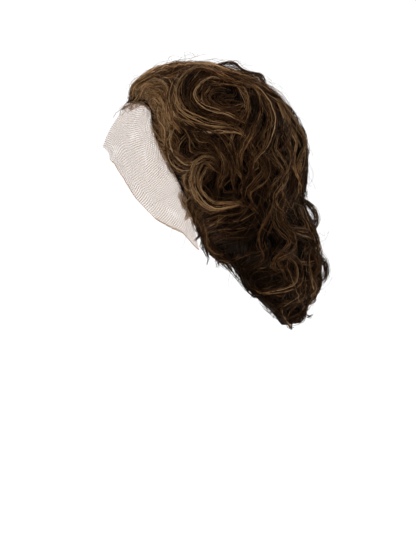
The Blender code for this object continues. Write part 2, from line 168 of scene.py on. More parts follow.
def smooth_through(values: np.ndarray, samples: np.ndarray, at: np.ndarray) -> np.ndarray:
    """Reads a smooth line through samples.

    Args:
        values: where the samples are, rising.
        samples: the line's value at each of them.
        at: where to read it.

    Returns:
        The line's values, held at its ends.
    """
    slopes = np.gradient(samples, values)
    at = np.clip(at, values[0], values[-1])
    i = np.clip(np.searchsorted(values, at) - 1, 0, len(values) - 2)
    width = values[i + 1] - values[i]
    t = (at - values[i]) / width
    return (
        (2 * t**3 - 3 * t**2 + 1) * samples[i]
        + (t**3 - 2 * t**2 + t) * width * slopes[i]
        + (3 * t**2 - 2 * t**3) * samples[i + 1]
        + (t**3 - t**2) * width * slopes[i + 1]
    )


# The form inside the wig and the hair's outer form round it, as the solids have them

class Level(NamedTuple):
    """The inner form and the hair's at one height, as half widths and depths from a spine."""

    z: float
    spine: float
    inner_width: float
    inner_front: float
    inner_back: float
    hair_width: float
    hair_front: float
    hair_back: float


@dataclass(frozen=True)
class WigForm:
    """The form that the cap and the lace lie on, and the hair's outer form round it."""

    wide_line: float = -77.0
    inner_top: float = 77.0
    hair_top: float = 84.0
    level_unit: float = 100.0
    inner_roundness: tuple = ((-1, 2.2), (0, 2.15), (1, 1.8))
    hair_power: float = 2.1
    hair_front_fullness: float = 0.42
    levels: tuple = (
        Level(-77, -14, 74, 96, 96, 96, 99, 118),
        Level(-110, -12, 72, 97, 93, 99, 101, 116),
        Level(-140, -10, 68, 94, 80, 100, 100, 113),
        Level(-175, -6, 62, 84, 52, 98, 98, 122),
        Level(-205, 0, 57, 70, 37, 95, 96, 119),
        Level(-235, 14, 57, 60, 36, 86, 88, 106),
        Level(-260, 34, 54, 50, 34, 70, 66, 73),
        Level(-285, 62, 36, 28, 20, 46, 38, 41),
    )

    def level_at(self, z: np.ndarray) -> dict[str, np.ndarray]:
        """Reads the levels at some heights.

        Args:
            z: the heights.

        Returns:
            Every column of the levels by its name.
        """
        rows = self.levels[::-1]
        heights = np.array([row.z for row in rows], float)
        return {
            name: smooth_through(heights, np.array([getattr(row, name) for row in rows], float), z)
            for name in Level._fields[1:]
        }

    def half_axes(self, z: np.ndarray, forward: np.ndarray, depth: np.ndarray) -> tuple:
        """Measures the form at some heights.

        Args:
            z: heights, at or under the wide line.
            forward: 1 at the front to -1 at the back.
            depth: 0 on the inner form to 1 on the hair's outer form.

        Returns:
            The spine, half width, half length, height and roundness.
        """
        level = self.level_at(z)
        inner_length = np.where(forward < 0, level["inner_back"], level["inner_front"])
        hair_length = np.where(forward < 0, level["hair_back"], level["hair_front"])
        inner_power = np.interp(forward, *np.array(self.inner_roundness).T)
        hair_power = self.hair_power + self.hair_front_fullness * forward
        return (
            level["spine"],
            level["inner_width"] + (level["hair_width"] - level["inner_width"]) * depth,
            inner_length + (hair_length - inner_length) * depth,
            self.inner_top + (self.hair_top - self.inner_top) * depth,
            inner_power + (hair_power - inner_power) * np.clip(depth, 0, 1),
        )

    def place(self, angle: np.ndarray, station: np.ndarray, depth: float) -> np.ndarray:
        """Points of the form.

        Args:
            angle: degrees from the front, towards the wearer's left.
            station: 0 at the crown, 1 at the wide line, then one more each 100 mm down.
            depth: 0 on the inner form to 1 on the hair's outer form.

        Returns:
            Points in millimetres.
        """
        turn = np.radians(angle)
        tilt = np.radians(np.minimum(station, 1.0) * 90.0)
        z_low = self.wide_line - np.maximum(station - 1.0, 0.0) * self.level_unit
        spine, width, length, height, power = self.half_axes(z_low, np.cos(turn), np.full_like(turn, depth))
        across = np.sin(tilt) * np.sin(turn)
        along = -np.sin(tilt) * np.cos(turn)
        up = np.cos(tilt)
        reach = (
            np.abs(across / width) ** power + np.abs(along / length) ** power + (up / height) ** power
        ) ** (-1 / power)
        return np.stack([reach * across, spine + reach * along, z_low + reach * up], axis=-1)

    def outward(self, angle: np.ndarray, station: np.ndarray) -> np.ndarray:
        """The direction from the spine out through points of the form.

        Args:
            angle: their angles.
            station: their stations.

        Returns:
            Unit vectors.
        """
        turn = np.radians(angle)
        tilt = np.radians(np.minimum(station, 1.0) * 90.0)
        return np.stack(
            [np.sin(tilt) * np.sin(turn), -np.sin(tilt) * np.cos(turn), np.cos(tilt)], axis=-1
        )

    def find(self, points: np.ndarray) -> tuple[np.ndarray, np.ndarray]:
        """Finds where points lie.

        Args:
            points: points in millimetres.

        Returns:
            Their angles and stations.
        """
        z = points[..., 2]
        y = points[..., 1] - self.level_at(np.minimum(z, self.wide_line))["spine"]
        angle = np.degrees(np.arctan2(points[..., 0], -y))
        rise = np.maximum(z - self.wide_line, 0)
        tilt = np.degrees(np.arctan2(np.hypot(points[..., 0], y), rise)) / 90
        return angle, np.where(rise > 0, tilt, 1 + (self.wide_line - z) / self.level_unit)


class View(Enum):
    """The view that a lock's points are drawn in."""

    SIDE = "side"
    BACK = "back"
    TOP = "top"


class Section(Enum):
    """The hair sections, by their nodes."""

    CROWN = "hair_crown"
    FRONT = "hair_front"
    LEFT = "hair_left"
    RIGHT = "hair_right"
    BACK = "hair_back"
    NAPE_LEFT = "hair_nape_left"
    NAPE_RIGHT = "hair_nape_right"


class Lock(NamedTuple):
    """One lock of hair.

    Side points are (y, z), back points are (x, z) and top points are (x, y). Width is half
    the lock's width, a lift is how far its middle stands off the hair round it at the root
    and at the tip, and tone runs from 0, the darkest brown, to 1, the lightest.
    """

    view: View
    width: float
    thick: float
    lifts: tuple
    tone: float
    points: tuple


SIDE, BACK, TOP = View.SIDE, View.BACK, View.TOP
LOCKS: dict[str, Lock] = {
    "temple_front": Lock(
        SIDE, 9, 3, (0, 0), 0.62, ((-75, -17), (-57, -20), (-48, -36), (-50, -61), (-43, -80))),
    "temple_rear": Lock(
        SIDE, 10, 5, (0, 1.5), 0.5, ((-66, -8), (-47, -12), (-38, -30), (-41, -52), (-32, -68))),
    "swirl_outer": Lock(
        SIDE, 12, 6, (1.5, 4.5), 0.3,
        ((18, -2), (-13, 2), (-33, -17), (-31, -43), (-4, -59), (29, -66), (46, -85))),
    "swirl_inner": Lock(
        SIDE, 9, 6, (1.5, 4.5), 0.36,
        ((26, -13), (-2, -10), (-18, -28), (-7, -45), (18, -52), (40, -61))),
    "swirl_core": Lock(
        SIDE, 6, 4, (1.5, 1.5), 0.3, ((18, -21), (0, -21), (-4, -33), (9, -43), (29, -43))),
    "crown_fall_front": Lock(
        SIDE, 11, 6, (1.5, 4.5), 0.3,
        ((20, -5), (40, -21), (46, -43), (38, -69), (29, -94), (35, -120))),
    "crown_fall_middle": Lock(
        SIDE, 11, 6, (1.5, 4.5), 0.27,
        ((42, -12), (57, -32), (65, -56), (57, -80), (44, -102), (48, -129))),
    "crown_fall_rear": Lock(
        SIDE, 10, 6, (1.5, 5.5), 0.25, ((57, -19), (74, -36), (81, -60), (73, -85), (57, -96))),
    "temple_wave": Lock(
        SIDE, 9, 6, (0, 5.5), 0.34,
        ((-40, -38), (-31, -58), (-8, -66), (11, -79), (23, -102), (23, -126))),
    "cheek_wave": Lock(
        SIDE, 9, 5, (0, 4.5), 0.28, ((-26, -67), (-7, -74), (8, -89), (13, -109), (7, -129))),
    "temple_hook": Lock(
        SIDE, 8, 5, (0, 4.5), 0.42, ((-37, -58), (-47, -80), (-43, -98), (-25, -107), (-4, -100))),
    "temple_hook_inner": Lock(
        SIDE, 6, 4, (0, 4.5), 0.3, ((-22, -72), (-33, -87), (-26, -100), (-9, -96), (4, -109))),
    "ear_curl": Lock(
        SIDE, 8.5, 6, (4, 6), 0.62,
        ((13, -105), (-7, -99), (-18, -116), (-15, -136), (2, -150), (29, -146))),
    "ear_curl_core": Lock(
        SIDE, 5, 4, (1, 2.5), 0.08, ((11, -116), (-4, -114), (-9, -128), (1, -140), (22, -138))),
    "ear_tuft": Lock(
        SIDE, 6, 5, (0, 4), 0.45, ((7, -149), (-9, -147), (-21, -143), (-26, -150), (-21, -158))),
    "jaw_upper": Lock(
        SIDE, 9, 5, (2.5, 3), 0.26, ((46, -138), (26, -154), (4, -158), (-11, -165), (-12, -176))),
    "jaw_middle": Lock(
        SIDE, 9, 5, (2.5, 3), 0.22, ((53, -153), (31, -168), (9, -171), (-8, -179), (-3, -191))),
    "jaw_lower": Lock(
        SIDE, 8, 5, (2.5, 3), 0.34, ((55, -171), (35, -180), (15, -183), (1, -191), (9, -201))),
    "neck_front": Lock(
        SIDE, 9, 6, (1.5, 3), 0.2, ((61, -182), (53, -201), (48, -219), (54, -238), (66, -245))),
    "neck_fall_front": Lock(
        SIDE, 9, 6, (1.5, 4.5), 0.16, ((37, -113), (52, -138), (44, -164), (34, -186), (42, -201))),
    "neck_fall_middle": Lock(
        SIDE, 10, 6, (1.5, 4.5), 0.18, ((53, -100), (68, -131), (59, -160), (52, -184), (59, -206))),
    "neck_fall_rear": Lock(
        SIDE, 10, 6, (1.5, 4.5), 0.26, ((74, -91), (90, -109), (86, -133), (72, -153), (78, -175))),
    "back_bulge": Lock(
        SIDE, 10, 6, (2.5, 4.5), 0.34, ((75, -39), (98, -61), (107, -91), (103, -120), (91, -140))),
    "back_curl_upper": Lock(
        SIDE, 9, 6, (3, 5.5), 0.28, ((86, -140), (106, -149), (112, -163), (99, -176), (81, -172))),
    "back_curl_middle": Lock(
        SIDE, 9, 6, (3, 5.5), 0.36, ((75, -171), (99, -179), (113, -195), (102, -209), (85, -208))),
    "back_curl_lower": Lock(
        SIDE, 9, 6, (3, 4.5), 0.28, ((64, -193), (84, -208), (87, -229), (73, -242), (57, -237))),
    "nape_hook": Lock(
        SIDE, 6, 5, (1.5, 3), 0.2, ((59, -206), (58, -225), (67, -241), (81, -245))),
    "nape_curl": Lock(
        SIDE, 7, 5, (1.5, 4.5), 0.24, ((76, -215), (93, -231), (93, -249), (80, -257), (71, -249))),
    "tail": Lock(
        SIDE, 6.5, 5, (1.5, 4.5), 0.25, ((70, -243), (80, -257), (91, -267), (101, -262), (96, -252))),
    "parting_sweep": Lock(
        TOP, 11, 5, (0, 3), 0.5, ((2, -84), (6, -58), (0, -28), (8, 4), (2, 36))),
    "crown_sweep_inner": Lock(
        TOP, 11, 5, (0, 4), 0.5, ((22, -78), (28, -50), (19, -20), (29, 10), (21, 42))),
    "crown_sweep_outer": Lock(
        TOP, 10, 6, (0, 4), 0.44, ((40, -66), (49, -40), (40, -10), (52, 16), (44, 46))),
    "whorl_inner": Lock(
        TOP, 11, 4, (0.5, 2.5), 0.34, ((4, 26), (14, 48), (6, 70), (14, 88))),
    "whorl_outer": Lock(
        TOP, 11, 4, (0.5, 2.5), 0.3, ((28, 34), (40, 56), (30, 76), (40, 88))),
    "back_wave_inner": Lock(
        BACK, 11, 6, (1.5, 4.5), 0.34, ((10, -36), (22, -62), (12, -88), (26, -114), (16, -140))),
    "back_wave_middle": Lock(
        BACK, 11, 6, (1.5, 4.5), 0.28, ((36, -42), (50, -68), (42, -94), (56, -120), (48, -146))),
    "back_wave_outer": Lock(
        BACK, 11, 6, (1.5, 4.5), 0.32, ((60, -56), (76, -82), (70, -108), (82, -134), (74, -160))),
    "nape_wave_inner": Lock(
        BACK, 11, 6, (1.5, 4.5), 0.28, ((14, -132), (30, -156), (20, -180), (6, -194), (10, -212))),
    "nape_wave_outer": Lock(
        BACK, 11, 6, (1.5, 4.5), 0.32, ((46, -138), (62, -162), (52, -186), (66, -206), (58, -222))),
    "nape_fall_inner": Lock(
        BACK, 10, 6, (1.5, 4), 0.26, ((12, -186), (28, -206), (24, -230), (8, -246), (2, -232))),
    "nape_fall_outer": Lock(
        BACK, 10, 6, (1.5, 4), 0.3, ((40, -190), (54, -212), (44, -236), (30, -248), (20, -240))),
    "tail_curl": Lock(
        BACK, 9, 5, (1.5, 4), 0.25, ((24, -234), (34, -254), (24, -272), (10, -274), (6, -264))),
}


# Thin curls that lie past the hair's edge, close to the lace
EDGE_CURLS: dict[str, Lock] = {
    "jaw_loop_front": Lock(
        SIDE, 3, 3, (0, 2), 0.34, ((8, -178), (2, -190), (9, -202), (21, -206), (28, -198))),
    "jaw_loop_rear": Lock(
        SIDE, 3, 3, (0, 2), 0.3, ((26, -192), (24, -205), (32, -215), (42, -212), (42, -204))),
    "neck_tip_front": Lock(
        SIDE, 3.5, 3, (1, 3), 0.24, ((60, -220), (61, -233), (69, -241), (76, -238))),
    "neck_tip_rear": Lock(
        SIDE, 3.5, 3, (1, 3), 0.24, ((72, -236), (79, -248), (88, -251), (91, -244))),
    "cheek_tip": Lock(
        SIDE, 3.5, 3, (0, 2), 0.4, ((-30, -84), (-39, -98), (-33, -110), (-22, -112))),
    "ear_tip": Lock(
        SIDE, 3.5, 3, (1, 3), 0.5, ((-10, -104), (-24, -112), (-25, -126), (-16, -134))),
}

# Loose locks over the rest, on both sides
LOOSE_LOCKS: dict[str, Lock] = {
    "front_puff": Lock(
        TOP, 7, 3, (2.5, 8.5), 0.5, ((7, -90), (12, -72), (9, -54), (15, -34))),
    "front_puff_outer": Lock(
        TOP, 7, 3, (2, 7.5), 0.48, ((26, -84), (31, -66), (27, -46), (35, -28))),
    "back_bulge_high": Lock(
        BACK, 9, 5, (5, 9), 0.36, ((22, -28), (34, -52), (20, -78), (34, -102), (22, -126))),
    "back_bulge_outer": Lock(
        BACK, 9, 5, (3, 6), 0.32, ((50, -60), (62, -86), (50, -112), (64, -138), (54, -160))),
}


# Loose locks down the middle of the back, which aren't mirrored
MIDDLE_LOCKS: dict[str, Lock] = {
    "middle_wave_first": Lock(
        BACK, 8, 5, (4, 9), 0.4, ((-6, -30), (7, -54), (-8, -80), (5, -104), (-9, -128))),
    "middle_wave_second": Lock(
        BACK, 8, 5, (3, 8), 0.34, ((15, -48), (2, -72), (17, -98), (4, -122), (15, -146))),
    "middle_wave_third": Lock(
        BACK, 8, 5, (3, 7), 0.4, ((-17, -92), (-3, -116), (-18, -142), (-5, -166), (-14, -190))),
    "middle_wave_fourth": Lock(
        BACK, 8, 5, (3, 7), 0.34, ((8, -138), (-7, -162), (9, -186), (-6, -210), (5, -232))),
    "middle_wave_fifth": Lock(
        BACK, 8, 5, (3, 6), 0.38, ((-10, -186), (5, -208), (-9, -230), (4, -246), (12, -258))),
}


@dataclass
class LockLine:
    """A lock laid on the form on one side: its centre line and what runs along it."""

    lock: Lock
    line: np.ndarray
    share: np.ndarray
    root_width: float = 0.55
    root_growth: float = 1.6
    tip_width: float = 0.25
    tip_growth: float = 2.2
    thinnest: float = 0.12

    def widths(self, share: np.ndarray) -> np.ndarray:
        """Half the lock's width along it, narrower at the root and at the tip."""
        return self.lock.width * self.taper(share)

    def taper(self, share: np.ndarray) -> np.ndarray:
        """How full the lock is along it.

        Args:
            share: 0 at the root to 1 at the tip.

        Returns:
            1 where it is full, and less towards both ends.
        """
        root = self.root_width + self.root_growth * share
        tip = self.tip_width + self.tip_growth * (1 - share)
        return np.clip(np.minimum(root, tip), self.thinnest, 1.0)

    def lift(self, share: np.ndarray) -> np.ndarray:
        """How far the lock's middle stands off the hair round it."""
        return self.lock.lifts[0] + (self.lock.lifts[1] - self.lock.lifts[0]) * share


@dataclass
class HairSurface:
    """The surface that the hair lies on, read from a map of angle and station."""

    form: WigForm = field(default_factory=WigForm)
    seed: int = 17
    clearance: float = 2.2
    backing_gap: float = 0.6
    thickest_backing: float = 20.0
    valley_under: float = 8.0
    valley_least: float = 0.45
    lying_edge_wall: float = 2.0
    lying_fade: float = 28.0
    front_fade: float = 14.0
    hanging_edge_wall: float = 7.0
    hanging_fade: float = 16.0
    hangs_below: float = 1.49
    nape_station: float = 1.69
    lowest_station: float = 3.0
    crown_station: float = 0.42
    back_angle: float = 122.0
    lock_depth: float = 0.85
    lock_reach: float = 30.0
    lock_at_edge: float = 0.3
    steps_per_span: int = 12
    right_side_shift: float = 2.2
    right_lock_shift: float = 4.0
    more_behind: float = 1.8
    ragged: float = 0.035
    ragged_beat: float = 41.0
    fall: tuple = (0, 0.35, -1.0)
    fall_share: float = 0.02
    least_weight: float = 1e-6
    plain_tone: float = 0.3
    least_lift: float = 0.3
    dark_below: float = -45.0
    dark_height: float = 110.0
    dark_behind: float = -45.0
    dark_length: float = 75.0
    dark_on_top: float = 0.3
    share_below: float = 0.72
    root_lift: float = 1.2
    edge_turn: float = 1.1
    curl_length: float = 15.0
    curl_steps: int = 10
    curl_radius: float = 11.0
    angle_step: float = 2.0
    station_step: float = 0.02
    flow_reach: float = 15.0
    darkening: float = 0.21
    edge_curl_depth: float = 0.12
    hangs_under: float = -150.0
    off_middle: float = 15.0
    shifts_more_behind: float = 60.0
    middle_reach: float = 16.0
    middle_swing: float = 1.1
    middle_wave: float = 44.0
    soft_low: float = -279.0
    lowest: float = -294.0
    hairline: tuple = ((0, 0.665), (32, 0.645), (45, 0.70), (48, 0.74))
    side_edge: tuple = (
        (0.43, 48), (0.74, 48), (0.79, 50), (0.93, 55), (1.08, 60), (1.21, 65), (1.43, 72),
        (1.57, 77), (1.69, 80), (1.90, 86), (2.03, 90), (2.14, 95), (2.21, 102), (2.28, 110),
        (2.34, 115), (2.45, 122), (2.67, 125), (2.75, 128), (2.89, 143), (3.00, 156),
    )

    def __post_init__(self) -> None:
        """Lays the locks on the form and draws the maps."""
        rng = np.random.default_rng(self.seed)
        self.lines = self.lay_both(LOCKS, self.lock_depth, rng)
        self.wisps = self.lay_both(EDGE_CURLS, self.edge_curl_depth, rng)
        self.wisps += self.lay_both(LOOSE_LOCKS, self.lock_depth, rng)
        self.wisps += [self.lay(lock, 1, None, self.lock_depth) for lock in MIDDLE_LOCKS.values()]
        angles = np.arange(-180, 180 + self.angle_step, self.angle_step)
        stations = np.arange(0, self.lowest_station + 0.3, self.station_step)
        self.map_shape = (len(stations), len(angles))
        station, angle = np.meshgrid(stations, angles, indexing="ij")
        angle, station = angle.ravel(), station.ravel()
        out = self.form.outward(angle, station)
        inner = self.form.place(angle, station, 0.0) + out * self.clearance
        hair = self.form.place(angle, station, 1.0)
        thick = np.einsum("ij,ij->i", hair - inner, out)
        valley = np.maximum(thick - self.valley_under, thick * self.valley_least)
        full, wall, inward = self.from_edge(inner, angle, station)
        rise = wall + (valley - wall) * full
        relief, flow, tone = self.draw_locks(inner + out * rise[:, None], out)
        flow = flow + inward * (self.edge_turn * (1 - full) ** 2)[:, None]
        middle = np.exp(-((180 - np.abs(angle)) / self.middle_reach) ** 2) * (station > 0.5)
        swing = self.middle_swing * np.sin(2 * np.pi * station * self.form.level_unit / self.middle_wave)
        waved = np.stack([swing, np.full_like(swing, 0.2), np.full_like(swing, -1.0)], axis=-1)
        flow = flow * (1 - middle)[:, None] + waved * middle[:, None]
        flow = unit(flow - out * np.einsum("ij,ij->i", flow, out)[:, None])
        self.maps = np.column_stack([rise, full, relief, tone, flow]).reshape(*self.map_shape, -1)

    def lay_both(self, locks: dict[str, Lock], depth: float, rng: np.random.Generator) -> list[LockLine]:
        """Lays every lock on the left, and then on the right, a little shifted.

        Args:
            locks: the locks by name.
            depth: how deep they lie, 0 on the inner form to 1 on the hair's.
            rng: random draws for the right side.

        Returns:
            The locks' lines.
        """
        lines = [self.lay(lock, 1, None, depth) for lock in locks.values()]
        return lines + [self.lay(lock, -1, rng, depth) for lock in locks.values()]

    def lay(self, lock: Lock, side: int, rng: np.random.Generator | None, depth: float) -> LockLine:
        """Lays a lock on the form, with a curl that runs on past its tip.

        Args:
            lock: the lock as it is drawn.
            side: 1 for the wearer's left, -1 for the right.
            rng: shifts the right side's locks a little, so that the sides differ.
            depth: how deep it lies.

        Returns:
            The lock's line. Its share is 1 at the lock's tip and more along the curl.
        """
        knots = np.array(lock.points, float)
        if rng is not None:
            behind = lock.view is BACK or knots[:, 0].mean() > self.shifts_more_behind
            moved = rng.normal(0, self.right_lock_shift, 2) * (self.more_behind if behind else 1.0)
            moved[0] = abs(moved[0]) if knots[:, 1].mean() < self.hangs_under else moved[0]
            knots = knots + moved
            knots = knots + rng.normal(0, self.right_side_shift, knots.shape)
        count = (len(knots) - 1) * self.steps_per_span + 1
        at = np.linspace(0, len(knots) - 1, count)
        spans = np.arange(len(knots), dtype=float)
        first, second = (smooth_through(spans, knots[:, i], at) for i in (0, 1))
        line = self.curled(self.lifted(lock.view, first, second, depth))
        line[:, 0] *= side
        reached = np.concatenate([[0], np.cumsum(np.linalg.norm(np.diff(line, axis=0), axis=1))])
        return LockLine(lock, line, reached / reached[count - 1])

    def curled(self, line: np.ndarray) -> np.ndarray:
        """Runs a line on in a curl that turns the way its tip does.

        Args:
            line: points in millimetres.

        Returns:
            The longer line.
        """
        step = self.curl_length / self.curl_steps
        points = list(line)
        heading = unit(points[-1] - points[-3])
        before = unit(points[-5] - points[-9])
        for _ in range(self.curl_steps):
            angle, station = self.form.find(points[-1])
            out = self.form.outward(angle, station)
            side = np.cross(out, heading)
            sense = 1.0 if np.dot(np.cross(before, heading), out) > 0 else -1.0
            before = heading
            heading = unit(heading + side * sense * step / self.curl_radius)
            heading = unit(heading - out * np.dot(heading, out))
            points.append(points[-1] + heading * step)
        return np.array(points)

    def lifted(self, view: View, first: np.ndarray, second: np.ndarray, depth: float) -> np.ndarray:
        """Lifts points drawn in one view on to the form.

        Args:
            view: the view.
            first: the view's across values.
            second: its upward values.
            depth: how deep they lie.

        Returns:
            Points in millimetres on the wearer's left.
        """
        form = self.form
        z_low = np.full_like(first, form.wide_line) if view is TOP else np.minimum(second, form.wide_line)
        level = form.level_at(z_low)
        along = (level["spine"] - (second if view is TOP else first)) / level["hair_front"]
        forward = np.full_like(first, -1.0) if view is BACK else np.clip(along, -1, 1)
        deep = np.full_like(first, depth)
        spine, width, length, height, power = form.half_axes(z_low, forward, deep)
        if view is TOP:
            left = 1 - np.abs(first / width) ** power - np.abs((second - spine) / length) ** power
            z = form.wide_line + height * np.maximum(left, 0) ** (1 / power)
            return np.stack([first, second, z], axis=-1)
        rise = np.abs(np.maximum(second - form.wide_line, 0) / height) ** power
        if view is SIDE:
            left = 1 - np.abs((first - spine) / length) ** power - rise
            across = width * np.maximum(left, 0) ** (1 / power)
            return np.stack([np.maximum(across, self.off_middle), first, second], axis=-1)
        left = 1 - np.abs(first / width) ** power - rise
        y = spine + length * np.maximum(left, 0) ** (1 / power)
        return np.stack([first, y, second], axis=-1)

    def edge_angle(self, station: np.ndarray) -> np.ndarray:
        """The angle of the hair's front edge at each station."""
        return np.interp(station, *np.array(self.side_edge, float).T)

    def hairline_station(self, angle: np.ndarray) -> np.ndarray:
        """The station of the hairline at each angle."""
        return np.interp(np.abs(angle), *np.array(self.hairline, float).T)

    def inside(self, angle: np.ndarray, station: np.ndarray) -> np.ndarray:
        """Tests where there is hair.

        Args:
            angle: angles.
            station: their stations.

        Returns:
            True where there is.
        """
        corner = self.hairline[-1][0]
        turned = np.abs(np.mod(angle + 180, 360) - 180)
        return np.where(
            turned < corner,
            station < self.hairline_station(turned),
            (turned > self.edge_angle(station)) & (station < self.lowest_station),
        )

    def from_edge(self, inner: np.ndarray, angle: np.ndarray, station: np.ndarray) -> tuple:
        """Measures how full the hair is.

        Args:
            inner: points just over the inner form.
            angle: their angles.
            station: their stations.

        Returns:
            0 at the hair's edge and outside it to 1 well inside it, its thickness at the edge,
            and the direction in from the edge.
        """
        front = np.linspace(0, self.hairline[-1][0], 20)
        side = np.linspace(self.hairline[-1][1], self.lowest_station, 90)
        low = np.linspace(self.side_edge[-1][1], 180, 12)
        at = np.concatenate([front, self.edge_angle(side), low])
        down = np.concatenate(
            [self.hairline_station(front), side, np.full_like(low, self.lowest_station)]
        )
        edge = self.form.place(at, down, 0.0)
        edge = np.concatenate([edge, edge * np.array([-1, 1, 1])])
        hangs = down > self.hangs_below
        fade = np.where(hangs, self.hanging_fade, self.lying_fade)
        fade[:len(front)] = self.front_fade
        wall = np.where(hangs, self.hanging_edge_wall, self.lying_edge_wall)
        squares = (inner**2).sum(1)[:, None] + (edge**2).sum(1)[None, :] - 2 * inner @ edge.T
        nearest = squares.argmin(axis=1)
        away = np.sqrt(np.maximum(squares.min(axis=1), 0))
        share = np.clip(away / np.tile(fade, 2)[nearest], 0, 1)
        inside = self.inside(angle, station)
        share = np.where(inside, share, 0)
        inward = unit(inner - edge[nearest]) * np.where(inside, 1, -1)[:, None]
        return share * share * (3 - 2 * share), np.tile(wall, 2)[nearest], inward

    def draw_locks(self, base: np.ndarray, out: np.ndarray) -> tuple:
        """Draws the locks' relief, and the way that the hair lies between them.

        Args:
            base: points of the surface between the locks.
            out: the outward direction at each of them.

        Returns:
            How far the locks stand out, the flow as unit vectors, and the tone.
        """
        relief = np.zeros(len(base))
        flow = np.zeros_like(base)
        weights = np.full(len(base), self.least_weight)
        tone = np.zeros(len(base))
        for laid in self.lines:
            tangents = unit(np.gradient(laid.line, axis=0))
            width = laid.widths(laid.share)
            stand = laid.lift(laid.share) + laid.lock.thick * laid.taper(laid.share)
            for i in range(0, len(laid.line) - self.curl_steps, 2):
                away = laid.line[i] - base
                along = np.einsum("ij,ij->i", away, out)
                aside = np.einsum("ij,ij->i", away, away) - along**2
                near = (aside < width[i] ** 2) & (np.abs(along) < self.lock_reach)
                top = stand[i] * np.sqrt(np.maximum(1 - aside / width[i] ** 2, 0))
                relief = np.where(near, np.maximum(relief, top), relief)
                weight = np.exp(-aside / (2 * (self.flow_reach / 2) ** 2))
                weight = np.where(np.abs(along) < self.lock_reach, weight, 0)
                flow += weight[:, None] * tangents[i]
                tone += weight * laid.lock.tone
                weights += weight
        flow = flow + self.fall_share * np.array(self.fall)
        flow -= out * np.einsum("ij,ij->i", flow, out)[:, None]
        return relief, unit(flow), (tone + self.least_weight * self.plain_tone) / weights

    def darker(self, lines: np.ndarray) -> np.ndarray:
        """How much darker strands are for lying low down and far back, where light is less.

        Args:
            lines: the strands' points.

        Returns:
            What each strand's tone loses.
        """
        middle = lines[:, lines.shape[1] // 2]
        low = np.clip((self.dark_below - middle[:, 2]) / self.dark_height, 0, 1)
        back = np.clip((middle[:, 1] - self.dark_behind) / self.dark_length, 0, 1)
        return self.darkening * back * (self.dark_on_top + (1 - self.dark_on_top) * low)

    def read(self, angle: np.ndarray, station: np.ndarray) -> np.ndarray:
        """Reads the maps between their points.

        Args:
            angle: angles.
            station: their stations.

        Returns:
            Every map's values, in columns.
        """
        column = np.mod(angle + 180, 360) / self.angle_step
        row = np.clip(station / self.station_step, 0, self.map_shape[0] - 1.001)
        column = np.minimum(column, self.map_shape[1] - 1.001)
        r, c = row.astype(int), column.astype(int)
        fr, fc = (row - r)[..., None], (column - c)[..., None]
        maps = self.maps
        return (
            maps[r, c] * (1 - fr) * (1 - fc) + maps[r + 1, c] * fr * (1 - fc)
            + maps[r, c + 1] * (1 - fr) * fc + maps[r + 1, c + 1] * fr * fc
        )

    def settle(
        self, points: np.ndarray, heights: np.ndarray, share: np.ndarray | float = 1.0
    ) -> np.ndarray:
        """Moves points along the outward direction to a height over the hair's valleys.

        Args:
            points: points in millimetres.
            heights: millimetres above the valleys.
            share: 1 for that height, down to 0 for the height of the roots on the lace.

        Returns:
            The settled points.
        """
        angle, station = self.form.find(points)
        values = self.read(angle, station)
        out = self.form.outward(angle, station)
        full = self.lock_at_edge + (1 - self.lock_at_edge) * values[..., FULL]
        lift = self.clearance + values[..., RISE] + heights * full
        lift = self.root_lift + (lift - self.root_lift) * share
        return self.above_low_end(self.form.place(angle, station, 0.0) + out * lift[..., None])

    def above_low_end(self, points: np.ndarray) -> np.ndarray:
        """Holds points softly above the tips' lowest reach.

        Args:
            points: points in millimetres, which are changed.

        Returns:
            The same points.
        """
        under = np.maximum(self.soft_low - points[..., 2], 0)
        reach = self.soft_low - self.lowest
        eased = self.soft_low - reach * (1 - np.exp(-under / reach))
        points[..., 2] = np.where(under > 0, eased, points[..., 2])
        return points

    def settle_inside(self, points: np.ndarray, depths: np.ndarray) -> np.ndarray:
        """Moves points to the inner side of the hair that hangs.

        Args:
            points: points in millimetres.
            depths: millimetres in from the inner wall of the backing.

        Returns:
            The settled points.
        """
        angle, station = self.form.find(points)
        wall = np.maximum(self.read(angle, station)[..., RISE] - self.thickest_backing, 0)
        lift = np.maximum(self.clearance - self.backing_gap + wall - depths, self.least_lift)
        return self.form.place(angle, station, 0.0) + self.form.outward(angle, station) * lift[..., None]

    def follow(
        self, start: np.ndarray, heights: np.ndarray, step: float, wobble: np.ndarray,
        shares: np.ndarray | None = None, drift: np.ndarray | float = 0.0, inner: bool = False,
    ) -> np.ndarray:
        """Runs lines along the flow from their starts.

        Args:
            start: first points, one for each line.
            heights: height over the valleys at each line's points, or depth inside.
            step: millimetres between two points.
            wobble: how far each step turns off the flow, in radians.
            shares: how much of its height each point has, as settle takes it.
            drift: a direction added to the flow, for all the lines or for each.
            inner: true to run on the inner side of the hair that hangs.

        Returns:
            Lines as (line, point, axis).
        """
        shares = np.ones_like(heights) if shares is None else shares
        points = []
        for i in range(heights.shape[1]):
            at = start if i == 0 else points[-1] + heading * step
            settled = self.settle_inside if inner else self.settle
            args = (at, heights[:, i]) if inner else (at, heights[:, i], shares[:, i])
            points.append(settled(*args))
            angle, station = self.form.find(points[-1])
            out = self.form.outward(angle, station)
            flow = unit(self.read(angle, station)[..., FLOW] + drift)
            turn = wobble[:, i, None]
            heading = unit(flow * np.cos(turn) + np.cross(out, flow) * np.sin(turn))
        return np.stack(points, axis=1)

